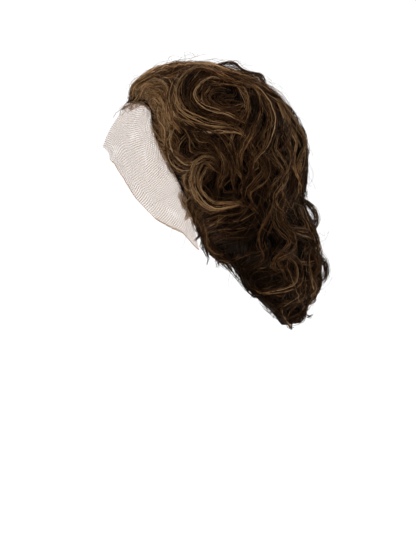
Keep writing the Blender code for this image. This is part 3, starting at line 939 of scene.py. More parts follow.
    def scatter(self, rng: np.random.Generator, count: int, low: float, high: float) -> tuple:
        """Spreads places over the hair.

        Args:
            rng: random draws.
            count: how many places.
            low: the first station.
            high: the last station.

        Returns:
            Angles and stations, about even over the surface.
        """
        angle = rng.uniform(-180, 180, count * 6)
        station = rng.uniform(low, high, count * 6)
        area = np.where(station < 1, np.sin(np.radians(np.minimum(station, 1) * 90)), self.share_below)
        kept = self.inside(angle, station) & (rng.random(len(angle)) < area)
        return angle[kept][:count], station[kept][:count]

    def sections_at(self, angle: np.ndarray, station: np.ndarray) -> np.ndarray:
        """Finds the sections that places lie in.

        Args:
            angle: angles.
            station: their stations.

        Returns:
            The sections' node names.
        """
        turned = np.mod(angle + 180, 360) - 180
        left, nape = turned > 0, station > self.nape_station
        return np.select(
            [
                nape & left, nape, station < self.crown_station,
                np.abs(turned) < self.hairline[-1][0], np.abs(turned) > self.back_angle, left,
            ],
            [
                Section.NAPE_LEFT.value, Section.NAPE_RIGHT.value, Section.CROWN.value,
                Section.FRONT.value, Section.BACK.value, Section.LEFT.value,
            ],
            Section.RIGHT.value,
        )


# Strands of hair, as thin closed tubes with three sides

@dataclass
class StrandBatch:
    """Strands that make one piece: their lines in millimetres, radii and tones."""

    lines: list[np.ndarray] = field(default_factory=list)
    radii: list[np.ndarray] = field(default_factory=list)
    tones: list[np.ndarray] = field(default_factory=list)
    sides: int = 3
    tone_width: float = 0.012
    middle: tuple = (0.0, -5.0, -110.0)

    def add(self, lines: np.ndarray, radii: np.ndarray, tones: np.ndarray) -> None:
        """Adds strands that all have the same number of points.

        Args:
            lines: their points.
            radii: their radii at each point.
            tones: their tones.
        """
        if len(lines):
            self.lines.append(lines)
            self.radii.append(radii)
            self.tones.append(np.clip(tones, 0.01, 0.97))

    def triangles(self) -> int:
        """How many triangles the strands take.

        Returns:
            How many there are.
        """
        return sum(
            len(block) * ((block.shape[1] - 1) * self.sides * 2 + 2) for block in self.lines
        )

    def rings(self, lines: np.ndarray, radii: np.ndarray) -> np.ndarray:
        """Sets the corners of every strand's rings, one corner of each facing out.

        Args:
            lines: the strands' points.
            radii: their radii at each point.

        Returns:
            Corners as (strand, point, corner, axis).
        """
        along = unit(np.gradient(lines, axis=1))
        ref = lines - np.array(self.middle)
        normal = unit(ref - along * (ref * along).sum(-1, keepdims=True))
        side = np.cross(along, normal)
        turns = 2 * np.pi * np.arange(self.sides) / self.sides
        ring = (
            normal[..., None, :] * np.cos(turns)[:, None] + side[..., None, :] * np.sin(turns)[:, None]
        )
        return lines[..., None, :] + radii[..., None, None] * ring

    def make(self, name: str) -> bpy.types.Object:
        """Makes one mesh of all the strands.

        Args:
            name: the piece's name.

        Returns:
            The object, not linked yet. Its UV map holds tone across and root to tip upwards.
        """
        corners, quads, ends, quad_uv, end_uv = [], [], [], [], []
        first = 0
        for lines, radii, tones in zip(self.lines, self.radii, self.tones):
            count, points = lines.shape[:2]
            corners.append(self.rings(lines, radii).reshape(-1, 3))
            ids = first + np.arange(count * points * self.sides).reshape(count, points, self.sides)
            turned = np.roll(ids, -1, axis=2)
            quad = np.stack([ids[:, :-1], turned[:, :-1], turned[:, 1:], ids[:, 1:]], axis=-1)
            quads.append(quad.reshape(-1, 4))
            ends.append(np.concatenate([ids[:, 0, ::-1], ids[:, -1]]))
            across = self.tone_width * np.arange(self.sides + 1) / self.sides
            v = np.linspace(0, 1, points)
            left = tones[:, None, None] + across[None, None, :-1]
            right = tones[:, None, None] + across[None, None, 1:]
            shape = (count, points - 1, self.sides)
            u = np.stack([np.broadcast_to(left, shape), np.broadcast_to(right, shape)] * 2, axis=-1)
            u = u[..., [0, 1, 3, 2]]
            low = np.broadcast_to(v[None, :-1, None], shape)
            high = np.broadcast_to(v[None, 1:, None], shape)
            quad_uv.append(
                np.stack([u, np.stack([low, low, high, high], axis=-1)], axis=-1).reshape(-1, 2)
            )
            tip = np.concatenate([np.zeros(count), np.ones(count)])
            tone = np.concatenate([tones, tones])[:, None] + across[None, :self.sides]
            end_uv.append(
                np.stack([tone, np.broadcast_to(tip[:, None], tone.shape)], axis=-1).reshape(-1, 2)
            )
            first += count * points * self.sides
        return self.assemble(name, corners, quads, ends, quad_uv + end_uv)

    def assemble(self, name: str, corners: list, quads: list, ends: list, uvs: list) -> bpy.types.Object:
        """Fills a mesh from the arrays.

        Args:
            name: the piece's name.
            corners: vertex places in millimetres.
            quads: four vertex numbers for each side face.
            ends: vertex numbers for each end face.
            uvs: the UV of each face corner, sides first.

        Returns:
            The object, not linked yet.
        """
        places, quad, end = np.concatenate(corners) * MM, np.concatenate(quads), np.concatenate(ends)
        uv = np.concatenate(uvs)
        mesh = bpy.data.meshes.new(name)
        mesh.vertices.add(len(places))
        mesh.vertices.foreach_set("co", places.astype(np.float32).ravel())
        mesh.loops.add(quad.size + end.size)
        mesh.loops.foreach_set("vertex_index", np.concatenate([quad.ravel(), end.ravel()]).astype(np.int32))
        mesh.polygons.add(len(quad) + len(end))
        starts = np.concatenate(
            [np.arange(len(quad)) * 4, quad.size + np.arange(len(end)) * self.sides]
        )
        mesh.polygons.foreach_set("loop_start", starts.astype(np.int32))
        mesh.update(calc_edges=True)
        mesh.shade_smooth()
        layer = mesh.uv_layers.new(name=UV_MAP)
        layer.data.foreach_set("uv", uv.astype(np.float32).ravel())
        mesh.validate()
        return bpy.data.objects.new(name, mesh)


@dataclass(frozen=True)
class HairFinish:
    """Human hair, dyed dark brown and waved: a scaly fibre with a soft sheen along each curve.

    The tone of a strand and its way from root to tip come from the UV map, so strands that
    share a tone share their place in it.
    """

    name: str = "waved_brown_hair"
    tones: tuple = (
        (0.0, "070302"), (0.2, "20110a"), (0.4, "432b1a"), (0.6, "775a3c"), (0.8, "a78661"),
        (1.0, "d0b088"),
    )
    along: tuple = ((0.0, "a0a0a0"), (0.25, "dcdcdc"), (0.75, "ffffff"), (1.0, "f2e6d8"))
    roughness: float = 0.46
    ior: float = 1.55
    specular: float = 0.1
    sheen_colour: str = "ffd2a0"

    def build(self) -> bpy.types.Material:
        """Makes the material.

        Returns:
            The material.
        """
        material, tree, shader = blank_material(self.name)
        uv = add_node(tree, "ShaderNodeUVMap", uv_map=UV_MAP)
        split = add_node(tree, "ShaderNodeSeparateXYZ", {0: uv.outputs["UV"]})
        tone, along = (
            fill_ramp(add_node(tree, "ShaderNodeValToRGB", {0: split.outputs[axis]}), stops).outputs["Color"]
            for axis, stops in (("X", self.tones), ("Y", self.along))
        )
        mixed = add_node(
            tree, "ShaderNodeMix", {0: 1.0, MIX_A: tone, MIX_B: along},
            data_type="RGBA", blend_type="MULTIPLY",
        )
        feed(tree, shader, {
            "Base Color": mixed.outputs[MIX_OUT], "Roughness": self.roughness, "IOR": self.ior,
            "Specular IOR Level": self.specular, "Specular Tint": hex_colour(self.sheen_colour),
        })
        return material


@dataclass
class StrandKind:
    """One kind of strand, with what all the kinds share."""

    surface: HairSurface
    seed: int = 0
    strands: int = 0
    points: int = 8
    step: float = 5.0
    stations: tuple[float, float] = (0.0, 2.7)
    radius: float = 0.3
    radius_range: tuple[float, float] = (0.7, 1.1)
    thinning: float = 3.5
    tip: float = 0.3
    heights: tuple[float, float] = (0.0, 1.0)
    tone_spread: float = 0.1
    lighter: float = 0.3
    light_share: float = 0.15
    full_turn: float = 6.3

    @property
    def local(self) -> np.ndarray:
        """How far along each point lies, 0 at the root to 1 at the tip."""
        return np.linspace(0, 1, self.points)[None, :]

    def thinned(self, local: np.ndarray) -> np.ndarray:
        """The share of its radius that a strand has along it, less towards the tip."""
        return np.clip(self.thinning * (1 - local) + self.tip, 0, 1)

    def radii(self, rng: np.random.Generator, count: int, local: np.ndarray) -> np.ndarray:
        """Radii that differ from strand to strand and thin towards the tip."""
        return self.radius * rng.uniform(*self.radius_range, (count, 1)) * self.thinned(local)

    def phases(self, rng: np.random.Generator, *shape: int) -> np.ndarray:
        """Random phases of a wave, in radians."""
        return rng.uniform(0, self.full_turn, shape)

    def high(self, rng: np.random.Generator, count: int) -> np.ndarray:
        """How high each strand lies, in millimetres, or how deep on the inner side."""
        return rng.uniform(*self.heights, (count, 1))

    def uneven(self, rng: np.random.Generator, count: int) -> np.ndarray:
        """Strand-to-strand differences of tone, with a share of strands much lighter than the rest."""
        spread = rng.normal(0, self.tone_spread, count)
        return spread + self.lighter * (rng.random(count) < self.light_share)

    def draw(self) -> Iterator[tuple]:
        """Draws the strands.

        Yields:
            The strands' section names, lines, radii and tones.
        """
        raise NotImplementedError

    def fill(self, batches: dict[str, StrandBatch]) -> None:
        """Adds each strand to its section's batch, or all of them to the only batch.

        Args:
            batches: the batches by piece or node name.
        """
        for names, lines, radii, tones in self.draw():
            for name, batch in batches.items():
                chosen = names == name if len(batches) > 1 else slice(None)
                batch.add(lines[chosen], radii[chosen], tones[chosen])


@dataclass
class HairLocks(StrandKind):
    """The locks: clumps of strands that run along each lock's line and curl past its tip."""

    seed: int = 1000
    radius: float = 0.32
    radius_range: tuple[float, float] = (0.6, 1.15)
    thinning: float = 4.0
    tip: float = 0.375
    strands_per_mm: float = 2.5
    fewest_strands: int = 12
    point_spacing: float = 7.0
    fewest_points: int = 9
    clump_width: float = 3.0
    fewest_clumps: int = 3
    clump_spread: float = 0.17
    least_width: float = 2.2
    frizz: float = 0.55
    frizz_length: float = 31.0
    tone_spread: float = 0.15
    # Painted light and shade: how much lighter a strand is for standing high in its lock
    lighter_on_top: float = 0.32
    darkened: float = 0.6
    reach: tuple[float, float] = (0.84, 1.0)
    heights: tuple[float, float] = (0.5, 1.15)
    sway: tuple[float, float] = (0.06, 0.3)
    sway_turns: tuple[float, float] = (0.7, 1.7)
    rocking: tuple[float, float] = (0.05, 0.3)
    rocking_turns: tuple[float, float] = (0.7, 1.5)
    twist: tuple[float, float] = (-1.6, 1.6)
    flick: tuple[float, float] = (-1.0, 5.0)
    flick_from: float = 0.8
    flick_growth: float = 14.0

    def strands_of(self, laid: LockLine, rng: np.random.Generator) -> tuple:
        """Draws one lock's strands.

        Args:
            laid: the lock on the form.
            rng: its own random draws.

        Returns:
            Lines, radii and tones.
        """
        lock = laid.lock
        length = np.linalg.norm(np.diff(laid.line, axis=0), axis=1).sum()
        points = max(self.fewest_points, round(length / self.point_spacing))
        count = max(self.fewest_strands, round(lock.width * 2 * self.strands_per_mm))
        clumps = max(self.fewest_clumps, round(lock.width * 2 / self.clump_width))
        clump = rng.integers(0, clumps, count)

        def own(span: tuple[float, float]) -> np.ndarray:
            """One value for each clump out of a span, given to its strands."""
            return rng.uniform(*span, clumps)[clump][:, None]

        centre = (np.linspace(-0.95, 0.95, clumps) + rng.normal(0, 0.08, clumps))[clump][:, None]
        local = np.linspace(0, 1, points)[None, :]
        ends = own(self.reach) * laid.share[-1] - np.abs(rng.normal(0, 0.05, (count, 1)))
        starts = np.abs(rng.normal(0, 0.04, (count, 1)))
        share = starts + (ends - starts) * local

        # Across the lock and up from it, as shares of its width and thickness
        sway = own(self.sway) * np.sin(2 * np.pi * (own(self.sway_turns) * share + own((0, 1))))
        rocking = own(self.rocking) * np.sin(2 * np.pi * (own(self.rocking_turns) * share + own((0, 1))))
        inner = rng.normal(0, self.clump_spread, (count, 1)) * (1.2 - 0.7 * local**2)
        twist = own(self.twist) * share * 3 + self.phases(rng, count, 1)
        across = centre * (1 - 0.25 * local**3) + sway + inner * np.cos(twist)
        across = np.clip(across, -1.3, 1.3)
        up = own(self.heights) + rocking + 1.3 * inner * np.sin(twist)
        up = np.clip(up, 0.1, 1.5) * np.sqrt(np.maximum(1.15 - np.minimum(across**2, 1), 0.12))

        line, tangent = (
            np.stack([np.interp(share, laid.share, values[:, i]) for i in range(3)], axis=-1)
            for values in (laid.line, unit(np.gradient(laid.line, axis=0)))
        )
        angle, station = self.surface.form.find(line)
        sideways = unit(np.cross(self.surface.form.outward(angle, station), unit(tangent)))
        spread = line + sideways * (np.maximum(laid.widths(share), self.least_width) * across)[..., None]
        flick = own(self.flick) * np.clip(share - self.flick_from, 0, 0.25) ** 2 * self.flick_growth
        height = laid.lift(np.minimum(share, 1)) + lock.thick * laid.taper(share) * up + flick
        height *= np.clip(share * 9 + 0.25, 0, 1)
        lines = self.surface.settle(spread, height)
        waves = rng.normal(0, 1, (count, 1, 3)), rng.normal(0, 1, (count, 1, 3))
        turn = 2 * np.pi * share[..., None] * (length / self.frizz_length) + self.phases(rng, count, 1, 1)
        frizz = np.sin(turn) * waves[0] + np.cos(1.7 * turn) * waves[1]
        lines = lines + frizz * self.frizz * (0.3 + share[..., None])

        radii = self.radii(rng, count, local)
        tones = lock.tone + rng.normal(0, self.tone_spread * 0.9, clumps)[clump]
        tones += self.uneven(rng, count)
        # Painted light and shade: strands that stand higher in the lock are made lighter, the lower ones
        # darker
        return lines, radii, tones + self.lighter_on_top * (up.mean(axis=1) - 0.8)

    def draw(self) -> Iterator[tuple]:
        """Draws every lock, in the section that the middle of its line lies in.

        Yields:
            The strands' section names, lines, radii and tones.
        """
        surface = self.surface
        for index, laid in enumerate(surface.lines + surface.wisps):
            lines, radii, tones = self.strands_of(laid, np.random.default_rng(self.seed + index))
            section = str(surface.sections_at(*surface.form.find(laid.line[len(laid.line) // 2])))
            yield np.full(len(lines), section), lines, radii, tones - self.darkened * surface.darker(lines)


@dataclass
class UnderHair(StrandKind):
    """The hair between the locks, which follows their flow close to the backing, painted darker as shade
    under the locks.
    """

    seed: int = 77
    strands: int = 2900
    points: int = 9
    step: float = 6.5
    stations: tuple[float, float] = (0.02, 2.66)
    radius: float = 0.38
    heights: tuple[float, float] = (-0.8, 2.4)
    # Painted shade: how much darker these strands are than the locks over them
    under_locks: float = 0.16
    tone_spread: float = 0.11
    light_share: float = 0.07
    darkened: float = 1.9
    hook: float = 0.7
    hooks_below: float = 1.2

    def draw(self) -> Iterator[tuple]:
        """Draws the strands, the lower ones with a hook at the tip.

        Yields:
            The strands' section names, lines, radii and tones.
        """
        rng = np.random.default_rng(self.seed)
        angle, station = self.surface.scatter(rng, self.strands, *self.stations)
        count, shape = len(angle), (len(angle), self.points)
        # Painted shade: the strands under the locks are made darker than the locks
        tones = self.surface.read(angle, station)[:, TONE] - self.under_locks
        heights = self.high(rng, count) + 0.5 * rng.normal(0, 1, shape)
        beat = self.phases(rng, count, 1) + np.arange(self.points)[None, :] * 0.9
        side = np.sign(np.sin(angle / 7) + np.cos(station * 9) + 1e-6)[:, None]
        wobble = rng.normal(0, 0.25, (count, 1)) * np.sin(beat)
        hooked = np.clip(station[:, None] - self.hooks_below, 0, 1) * self.local**3
        start = self.surface.form.place(angle, station, 0.5)
        lines = self.surface.follow(start, heights, self.step, wobble + self.hook * side * hooked)
        radii = self.radii(rng, count, self.local)
        tones = tones + self.uneven(rng, count)
        tones = tones - self.darkened * self.surface.darker(lines)
        yield self.surface.sections_at(angle, station), lines, radii, tones


@dataclass
class InnerHair(StrandKind):
    """The inner side of the hair that hangs, which shows from the front and from below."""

    seed: int = 91
    strands: int = 450
    step: float = 7.0
    stations: tuple[float, float] = (1.45, 2.3)
    radius: float = 0.42
    heights: tuple[float, float] = (0.2, 1.8)
    tone: float = 0.2
    tone_spread: float = 0.08
    drift: tuple = (0, 0.5, -0.8)

    def draw(self) -> Iterator[tuple]:
        """Draws the strands on the inner side of the backing.

        Yields:
            The strands' section names, lines, radii and tones.
        """
        rng = np.random.default_rng(self.seed)
        angle, station = self.surface.scatter(rng, self.strands, *self.stations)
        count = len(angle)
        depths = self.high(rng, count) + np.zeros((count, self.points))
        beat = self.phases(rng, count, 1) + np.arange(self.points)[None, :] * 0.8
        start = self.surface.form.place(angle, station, 0.2)
        lines = self.surface.follow(
            start, depths, self.step, 0.35 * np.sin(beat), drift=np.array(self.drift), inner=True
        )
        radii = self.radius * self.thinned(self.local) * np.ones((count, 1))
        tones = self.tone + rng.normal(0, self.tone_spread, count)
        yield self.surface.sections_at(angle, station), lines, radii, tones


@dataclass
class LooseWaves(StrandKind):
    """Small loose clumps that wave over the locks and break them up."""

    seed: int = 301
    clumps: int = 400
    strands: int = 5
    points: int = 12
    step: float = 4.9
    stations: tuple[float, float] = (0.08, 2.68)
    radius: float = 0.28
    radius_range: tuple[float, float] = (0.65, 1.15)
    thinning: float = 4.0
    heights: tuple[float, float] = (1.0, 8.0)
    wave_length: float = 42.0
    swing: float = 0.55
    clump_radius: float = 2.4
    tone_spread: float = 0.09
    light_share: float = 0.1

    def draw(self) -> Iterator[tuple]:
        """Draws the clumps' strands.

        Yields:
            The strands' section names, lines, radii and tones.
        """
        rng = np.random.default_rng(self.seed)
        angle, station = self.surface.scatter(rng, self.clumps, *self.stations)
        count, local = len(angle), self.local
        tone = self.surface.read(angle, station)[:, TONE]
        length = self.wave_length * rng.uniform(0.75, 1.35, (count, 1))
        reach = np.arange(self.points)[None, :] * self.step
        turn = 2 * np.pi * reach / length + self.phases(rng, count, 1)
        heights = self.high(rng, count) * np.clip(local * 5, 0, 1)
        heights = heights + 1.3 * np.sin(turn) + rng.uniform(-1, 5, (count, 1)) * local**3
        wobble = self.swing * rng.uniform(0.5, 1.4, (count, 1)) * np.cos(turn)
        start = self.surface.form.place(angle, station, 0.7)
        lines = self.spread(self.surface.follow(start, heights, self.step, wobble), rng)
        radii = self.radii(rng, len(lines), local)
        tones = np.repeat(tone + rng.normal(0.03, self.tone_spread, count), self.strands)
        tones = tones + self.uneven(rng, len(tones))
        names = np.repeat(self.surface.sections_at(angle, station), self.strands)
        yield names, lines, radii, tones - self.surface.darker(lines)

    def spread(self, paths: np.ndarray, rng: np.random.Generator) -> np.ndarray:
        """Spreads strands round each clump's path, closer at its tip.

        Args:
            paths: the clumps' paths.
            rng: random draws.

        Returns:
            The strands' lines.
        """
        along = unit(np.gradient(paths, axis=1))
        out = self.surface.form.outward(*self.surface.form.find(paths))
        side = unit(np.cross(out, along))
        girth = self.clump_radius * (0.45 + 0.75 * np.sin(np.pi * np.minimum(self.local[0] + 0.12, 1)))
        draws = rng.normal(0, 0.5, (len(paths), self.strands, 2))
        twist = rng.uniform(-2, 2, (len(paths), 1, 1)) * self.local[None]
        first = draws[..., :1] * np.cos(twist) - draws[..., 1:] * np.sin(twist)
        second = draws[..., :1] * np.sin(twist) + draws[..., 1:] * np.cos(twist)
        lines = (
            paths[:, None] + side[:, None] * (first * girth)[..., None]
            + out[:, None] * (second * girth * 0.8)[..., None]
        )
        return lines.reshape(-1, self.points, 3)


@dataclass
class HairlineRoots(StrandKind):
    """Single hairs knotted into the lace along the hairline, light and thin at the root."""

    seed: int = 55
    strands: int = 2000
    points: int = 7
    step: float = 4.2
    radius: float = 0.21
    radius_range: tuple[float, float] = (0.6, 1.1)
    heights: tuple[float, float] = (0.0, 5.5)
    tone: float = 0.66
    outside: float = 4.0
    outside_in_front: float = 1.0
    across: float = 16.0
    lowest: float = 1.66
    mm_per_degree: float = 1.35
    mm_per_station: float = 150.0
    drift: tuple = (0, 0.45, 0)

    def edge(self, rng: np.random.Generator, count: int, in_from_edge: np.ndarray) -> tuple:
        """Places along the hairline on both sides.

        Args:
            rng: random draws.
            count: how many.
            in_from_edge: how far in from the hairline each lies, in millimetres.

        Returns:
            Angles and stations.
        """
        surface = self.surface
        corner = surface.hairline[-1][0]
        front = np.linspace(0, corner, 30)
        side = np.linspace(surface.hairline[-1][1], self.lowest, 60)
        angle = np.concatenate([front, surface.edge_angle(side)])
        station = np.concatenate([surface.hairline_station(front), side])
        steps = np.linalg.norm(np.diff(surface.form.place(angle, station, 0.0), axis=0), axis=1)
        reached = np.concatenate([[0], np.cumsum(steps)])
        at = rng.uniform(0, reached[-1], count)
        turned, down = np.interp(at, reached, angle), np.interp(at, reached, station)
        in_front = np.clip((corner + 4 - turned) / 8, 0, 1)
        outermost = self.outside + (self.outside_in_front - self.outside) * in_front
        in_from_edge = np.maximum(in_from_edge, -outermost)
        turned = turned + (1 - in_front) * in_from_edge / self.mm_per_degree
        down = down - in_front * in_from_edge / self.mm_per_station
        return turned * rng.choice([-1, 1], count), down

    def draw(self) -> Iterator[tuple]:
        """Draws the hairs, which leave the lace and rise into the locks.

        Yields:
            The hairs' section names, lines, radii and tones.
        """
        rng = np.random.default_rng(self.seed)
        count, shape = self.strands, (self.strands, self.points)
        in_from_edge = self.across * rng.random(count) ** 0.9 - self.outside
        angle, station = self.edge(rng, count, in_from_edge)
        heights = self.high(rng, count) * self.local + 0.3 * rng.normal(0, 1, shape)
        shares = np.clip(self.local * 2.2, 0, 1) * np.ones(shape)
        wobble = rng.normal(0, 0.22, (count, 1)) + 0.12 * rng.normal(0, 1, shape)
        start = self.surface.form.place(angle, station, 0.0)
        lines = self.surface.follow(start, heights, self.step, wobble, shares, np.array(self.drift))
        radii = self.radii(rng, count, self.local)
        tones = self.tone + self.uneven(rng, count)
        tones = tones - 0.16 * np.clip((station - 0.9) / 0.7, 0, 1)
        yield self.surface.sections_at(angle, station - 0.02), lines, radii, tones


@dataclass
class LaceHairs(HairlineRoots):
    """Fine short hairs on the lace in front of the hairline, and a few long stray ones."""

    seed: int = 63
    points: int = 9
    radius: float = 0.085
    radius_range: tuple[float, float] = (0.7, 1.2)
    thinning: float = 3.0
    tip: float = 0.4
    heights: tuple[float, float] = (0.0, 2.5)
    tone: float = 0.4
    tone_spread: float = 0.08
    drift: tuple = (0, -0.1, -0.9)
    lengths: tuple = ((260, 1.7, 5), (16, 7.5, 4))

    def draw(self) -> Iterator[tuple]:
        """Draws the short hairs and the long, by their count, step and reach over the lace.

        Yields:
            The hairs' section names, lines, radii and tones.
        """
        rng = np.random.default_rng(self.seed)
        for count, step, reach in self.lengths:
            angle, station = self.edge(rng, count, -reach * rng.random(count) ** 1.6 + 1)
            drift = rng.normal(0, 0.7, (count, 3)) + np.array(self.drift)
            drift[:, 0] += np.sign(angle) * 0.2
            heights = self.high(rng, count) * self.local
            wobble = rng.normal(0, 0.5, (count, 1)) * (self.local - 0.3) * 2
            shares = 0.25 * self.local * np.ones((count, self.points))
            start = self.surface.form.place(angle, station, 0.0)
            lines = self.surface.follow(start, heights, step, wobble, shares, drift)
            radii = self.radii(rng, count, self.local)
            tones = self.tone + rng.normal(0, self.tone_spread, count)
            yield self.surface.sections_at(angle, station), lines, radii, tones


@dataclass
class Flyaways(StrandKind):
    """Single hairs that stand off all over the hair's outline."""

    seed: int = 404
    strands: int = 1000
    step: float = 5.4
    radius: float = 0.11
    radius_range: tuple[float, float] = (0.7, 1.2)
    thinning: float = 3.0
    tip: float = 0.4
    tone: float = 0.42
    heights: tuple[float, float] = (2.0, 13.0)

    def draw(self) -> Iterator[tuple]:
        """Draws the hairs, each in an arc over the locks.

        Yields:
            The hairs' section names, lines, radii and tones.
        """
        rng = np.random.default_rng(self.seed)
        angle, station = self.surface.scatter(rng, self.strands, *self.stations)
        count = len(angle)
        relief = self.surface.read(angle, station)[:, RELIEF, None]
        peak = self.high(rng, count)
        arc = np.sin(np.pi * np.clip(self.local * rng.uniform(0.35, 1, (count, 1)), 0, 1))
        beat = self.phases(rng, count, 1) + self.local * rng.uniform(2, 9, (count, 1))
        wobble = rng.normal(0, 0.7, (count, 1)) + 0.7 * np.sin(beat)
        start = self.surface.form.place(angle, station, 1.0)
        lines = self.surface.follow(start, relief + 1 + peak * arc, self.step, wobble)
        radii = self.radii(rng, count, self.local)
        tones = self.tone + rng.normal(0, self.tone_spread, count)
        yield self.surface.sections_at(angle, station), lines, radii, tones


class FreeCurl(NamedTuple):
    """A curl that stands clear of the rest: how far to the side it lies, and its (y, z) points."""

    x: float
    strands: int
    spread: float
    tone: float
    points: tuple


FREE_CURLS: dict[str, FreeCurl] = {
    "crown_wisp": FreeCurl(
        10, 46, 1.6, 0.36, ((-8, 1), (2, 4), (14, 9), (26, 10), (35, 3), (46, -1), (56, -3), (59, -10))),
    "crown_wisp_rear": FreeCurl(
        16, 36, 2.0, 0.36, ((36, -4), (48, -3), (57, -6), (60, -17), (67, -30), (76, -44))),
    "nape_loop": FreeCurl(
        4, 78, 2.7, 0.3, ((92, -190), (106, -197), (120, -203), (127, -213), (126, -225), (116, -232))),
    "nape_loop_left": FreeCurl(
        24, 56, 2.4, 0.3, ((90, -186), (103, -192), (114, -200), (119, -212), (113, -222), (102, -222))),
    "nape_loop_right": FreeCurl(
        -22, 56, 2.4, 0.3, ((88, -196), (102, -200), (114, -208), (117, -221), (108, -231), (97, -229))),
    "lower_loop": FreeCurl(
        8, 10, 0.8, 0.22, ((92, -243), (104, -241), (113, -244), (116, -250), (109, -254), (101, -252))),
    "bulge_loop": FreeCurl(
        -4, 60, 2.5, 0.3, ((88, -136), (102, -140), (113, -149), (117, -163), (110, -174), (99, -174))),
    "tail_flick": FreeCurl(
        6, 20, 1.4, 0.25, ((84, -246), (96, -252), (102, -262), (109, -268), (113, -264))),
    "tail_end": FreeCurl(
        12, 60, 3.0, 0.24, ((64, -246), (74, -262), (87, -272), (100, -271), (103, -260), (95, -255))),
    "tail_end_right": FreeCurl(
        -14, 54, 3.0, 0.26, ((60, -246), (70, -260), (83, -270), (96, -268), (98, -257))),
}


@dataclass
class FreeCurls(StrandKind):
    """The curls that stand clear of the crown, the nape and the tail."""

    seed: int = 700
    points: int = 16
    radius: float = 0.27
    radius_range: tuple[float, float] = (0.5, 1.1)
    thinning: float = 4.0
    lean: float = 2.2
    closing: float = 0.45
    turns: float = 1.6

    def draw(self) -> Iterator[tuple]:
        """Draws every curl's strands.

        Yields:
            Names that no section has, and the strands' lines, radii and tones.
        """
        local = self.local
        for index, curl in enumerate(FREE_CURLS.values()):
            rng, count = np.random.default_rng(self.seed + index), curl.strands
            knots = np.array(curl.points, float)
            spans = np.arange(len(knots), dtype=float)
            at = local * rng.uniform(0.82, 1.0, (count, 1)) * (len(knots) - 1)
            y, z = (smooth_through(spans, knots[:, i], at) for i in (0, 1))
            lean = rng.normal(0, self.lean, (count, 1)) * local
            offset = rng.normal(0, curl.spread, (count, 1, 3)) * (1 - self.closing * local[..., None])
            turn = 2 * np.pi * local[..., None] * self.turns + self.phases(rng, count, 1, 3)
            lines = np.stack([curl.x + lean, y, z], axis=-1) + offset + 0.5 * np.sin(turn)
            radii = self.radii(rng, count, local)
            yield np.full(count, ""), lines, radii, curl.tone + rng.normal(0, self.tone_spread, count)


# Pieces made of bmesh patches

def grid_patch(columns: int, rows: int) -> bmesh.types.BMesh:
    """Makes a flat grid whose x and y both run from 0 to 1.

    Args:
        columns: its faces across.
        rows: its faces up.

    Returns:
        The bmesh.
    """
    made = bmesh.new()
    bmesh.ops.create_grid(made, x_segments=columns, y_segments=rows, size=0.5)
    bmesh.ops.translate(made, verts=made.verts, vec=(0.5, 0.5, 0))
    return made


def walled(made: bmesh.types.BMesh, outer: np.ndarray, inner: np.ndarray) -> bmesh.types.BMesh:
    """Turns a patch into a closed wall.

    Args:
        made: the flat patch.
        outer: the outer place of each of its vertices, in millimetres.
        inner: the inner place of each.

    Returns:
        The same bmesh, welded, extruded and with its faces pointing out.
    """
    made.verts.index_update()
    ids = made.verts.layers.int.new("row")
    for vert in made.verts:
        vert[ids] = vert.index
        vert.co = outer[vert.index] * MM
    bmesh.ops.remove_doubles(made, verts=made.verts, dist=0.3 * MM)
    faces = bmesh.ops.extrude_face_region(made, geom=list(made.faces), use_keep_orig=True)["geom"]
    for vert in (item for item in faces if isinstance(item, bmesh.types.BMVert)):
        vert.co = inner[vert[ids]] * MM
    bmesh.ops.recalc_face_normals(made, faces=made.faces)
    return made


def mesh_object(name: str, made: bmesh.types.BMesh) -> bpy.types.Object:
    """Turns a bmesh into an object.

    Args:
        name: the object's name.
        made: the bmesh, which is freed.

    Returns:
        The object, shaded smooth and not linked yet.
    """
    mesh = bpy.data.meshes.new(name)
    made.to_mesh(mesh)
    made.free()
    mesh.shade_smooth()
    mesh.set_sharp_from_angle(angle=math.radians(60))
    return bpy.data.objects.new(name, mesh)


@dataclass
class HairBacking:
    """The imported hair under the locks, which closes a section and carries its strands."""

    surface: HairSurface
    section: Section
    across: float
    down: float
    angles: Callable
    stations: Callable
    sink: float = 2.6
    sink_at_edge: float = 0.35
    thinnest: float = 0.8
    grid: float = 3.5

    def build(self) -> bpy.types.Object:
        """Makes the section's closed wall.

        Returns:
            The object, not linked yet.
        """
        made = grid_patch(round(self.across / self.grid), round(self.down / self.grid))
        flat = np.array([vert.co[:2] for vert in made.verts])
        station = self.stations(flat[:, 0], flat[:, 1])
        angle = self.angles(flat[:, 0], station)
        surface = self.surface
        values = surface.read(angle, station)
        out = surface.form.outward(angle, station)
        base = surface.form.place(angle, station, 0.0) + out * (surface.clearance - surface.backing_gap)
        full = surface.lock_at_edge + (1 - surface.lock_at_edge) * values[:, FULL]
        sink = self.sink * (self.sink_at_edge + (1 - self.sink_at_edge) * values[:, FULL])
        inner = np.maximum(values[:, RISE] - surface.thickest_backing, 0)
        outer = np.maximum(values[:, RISE] + values[:, RELIEF] * full - sink, inner + self.thinnest)
        return mesh_object(
            f"{self.section.value}_backing",
            walled(made, base + out * outer[:, None], base + out * inner[:, None]),
        )


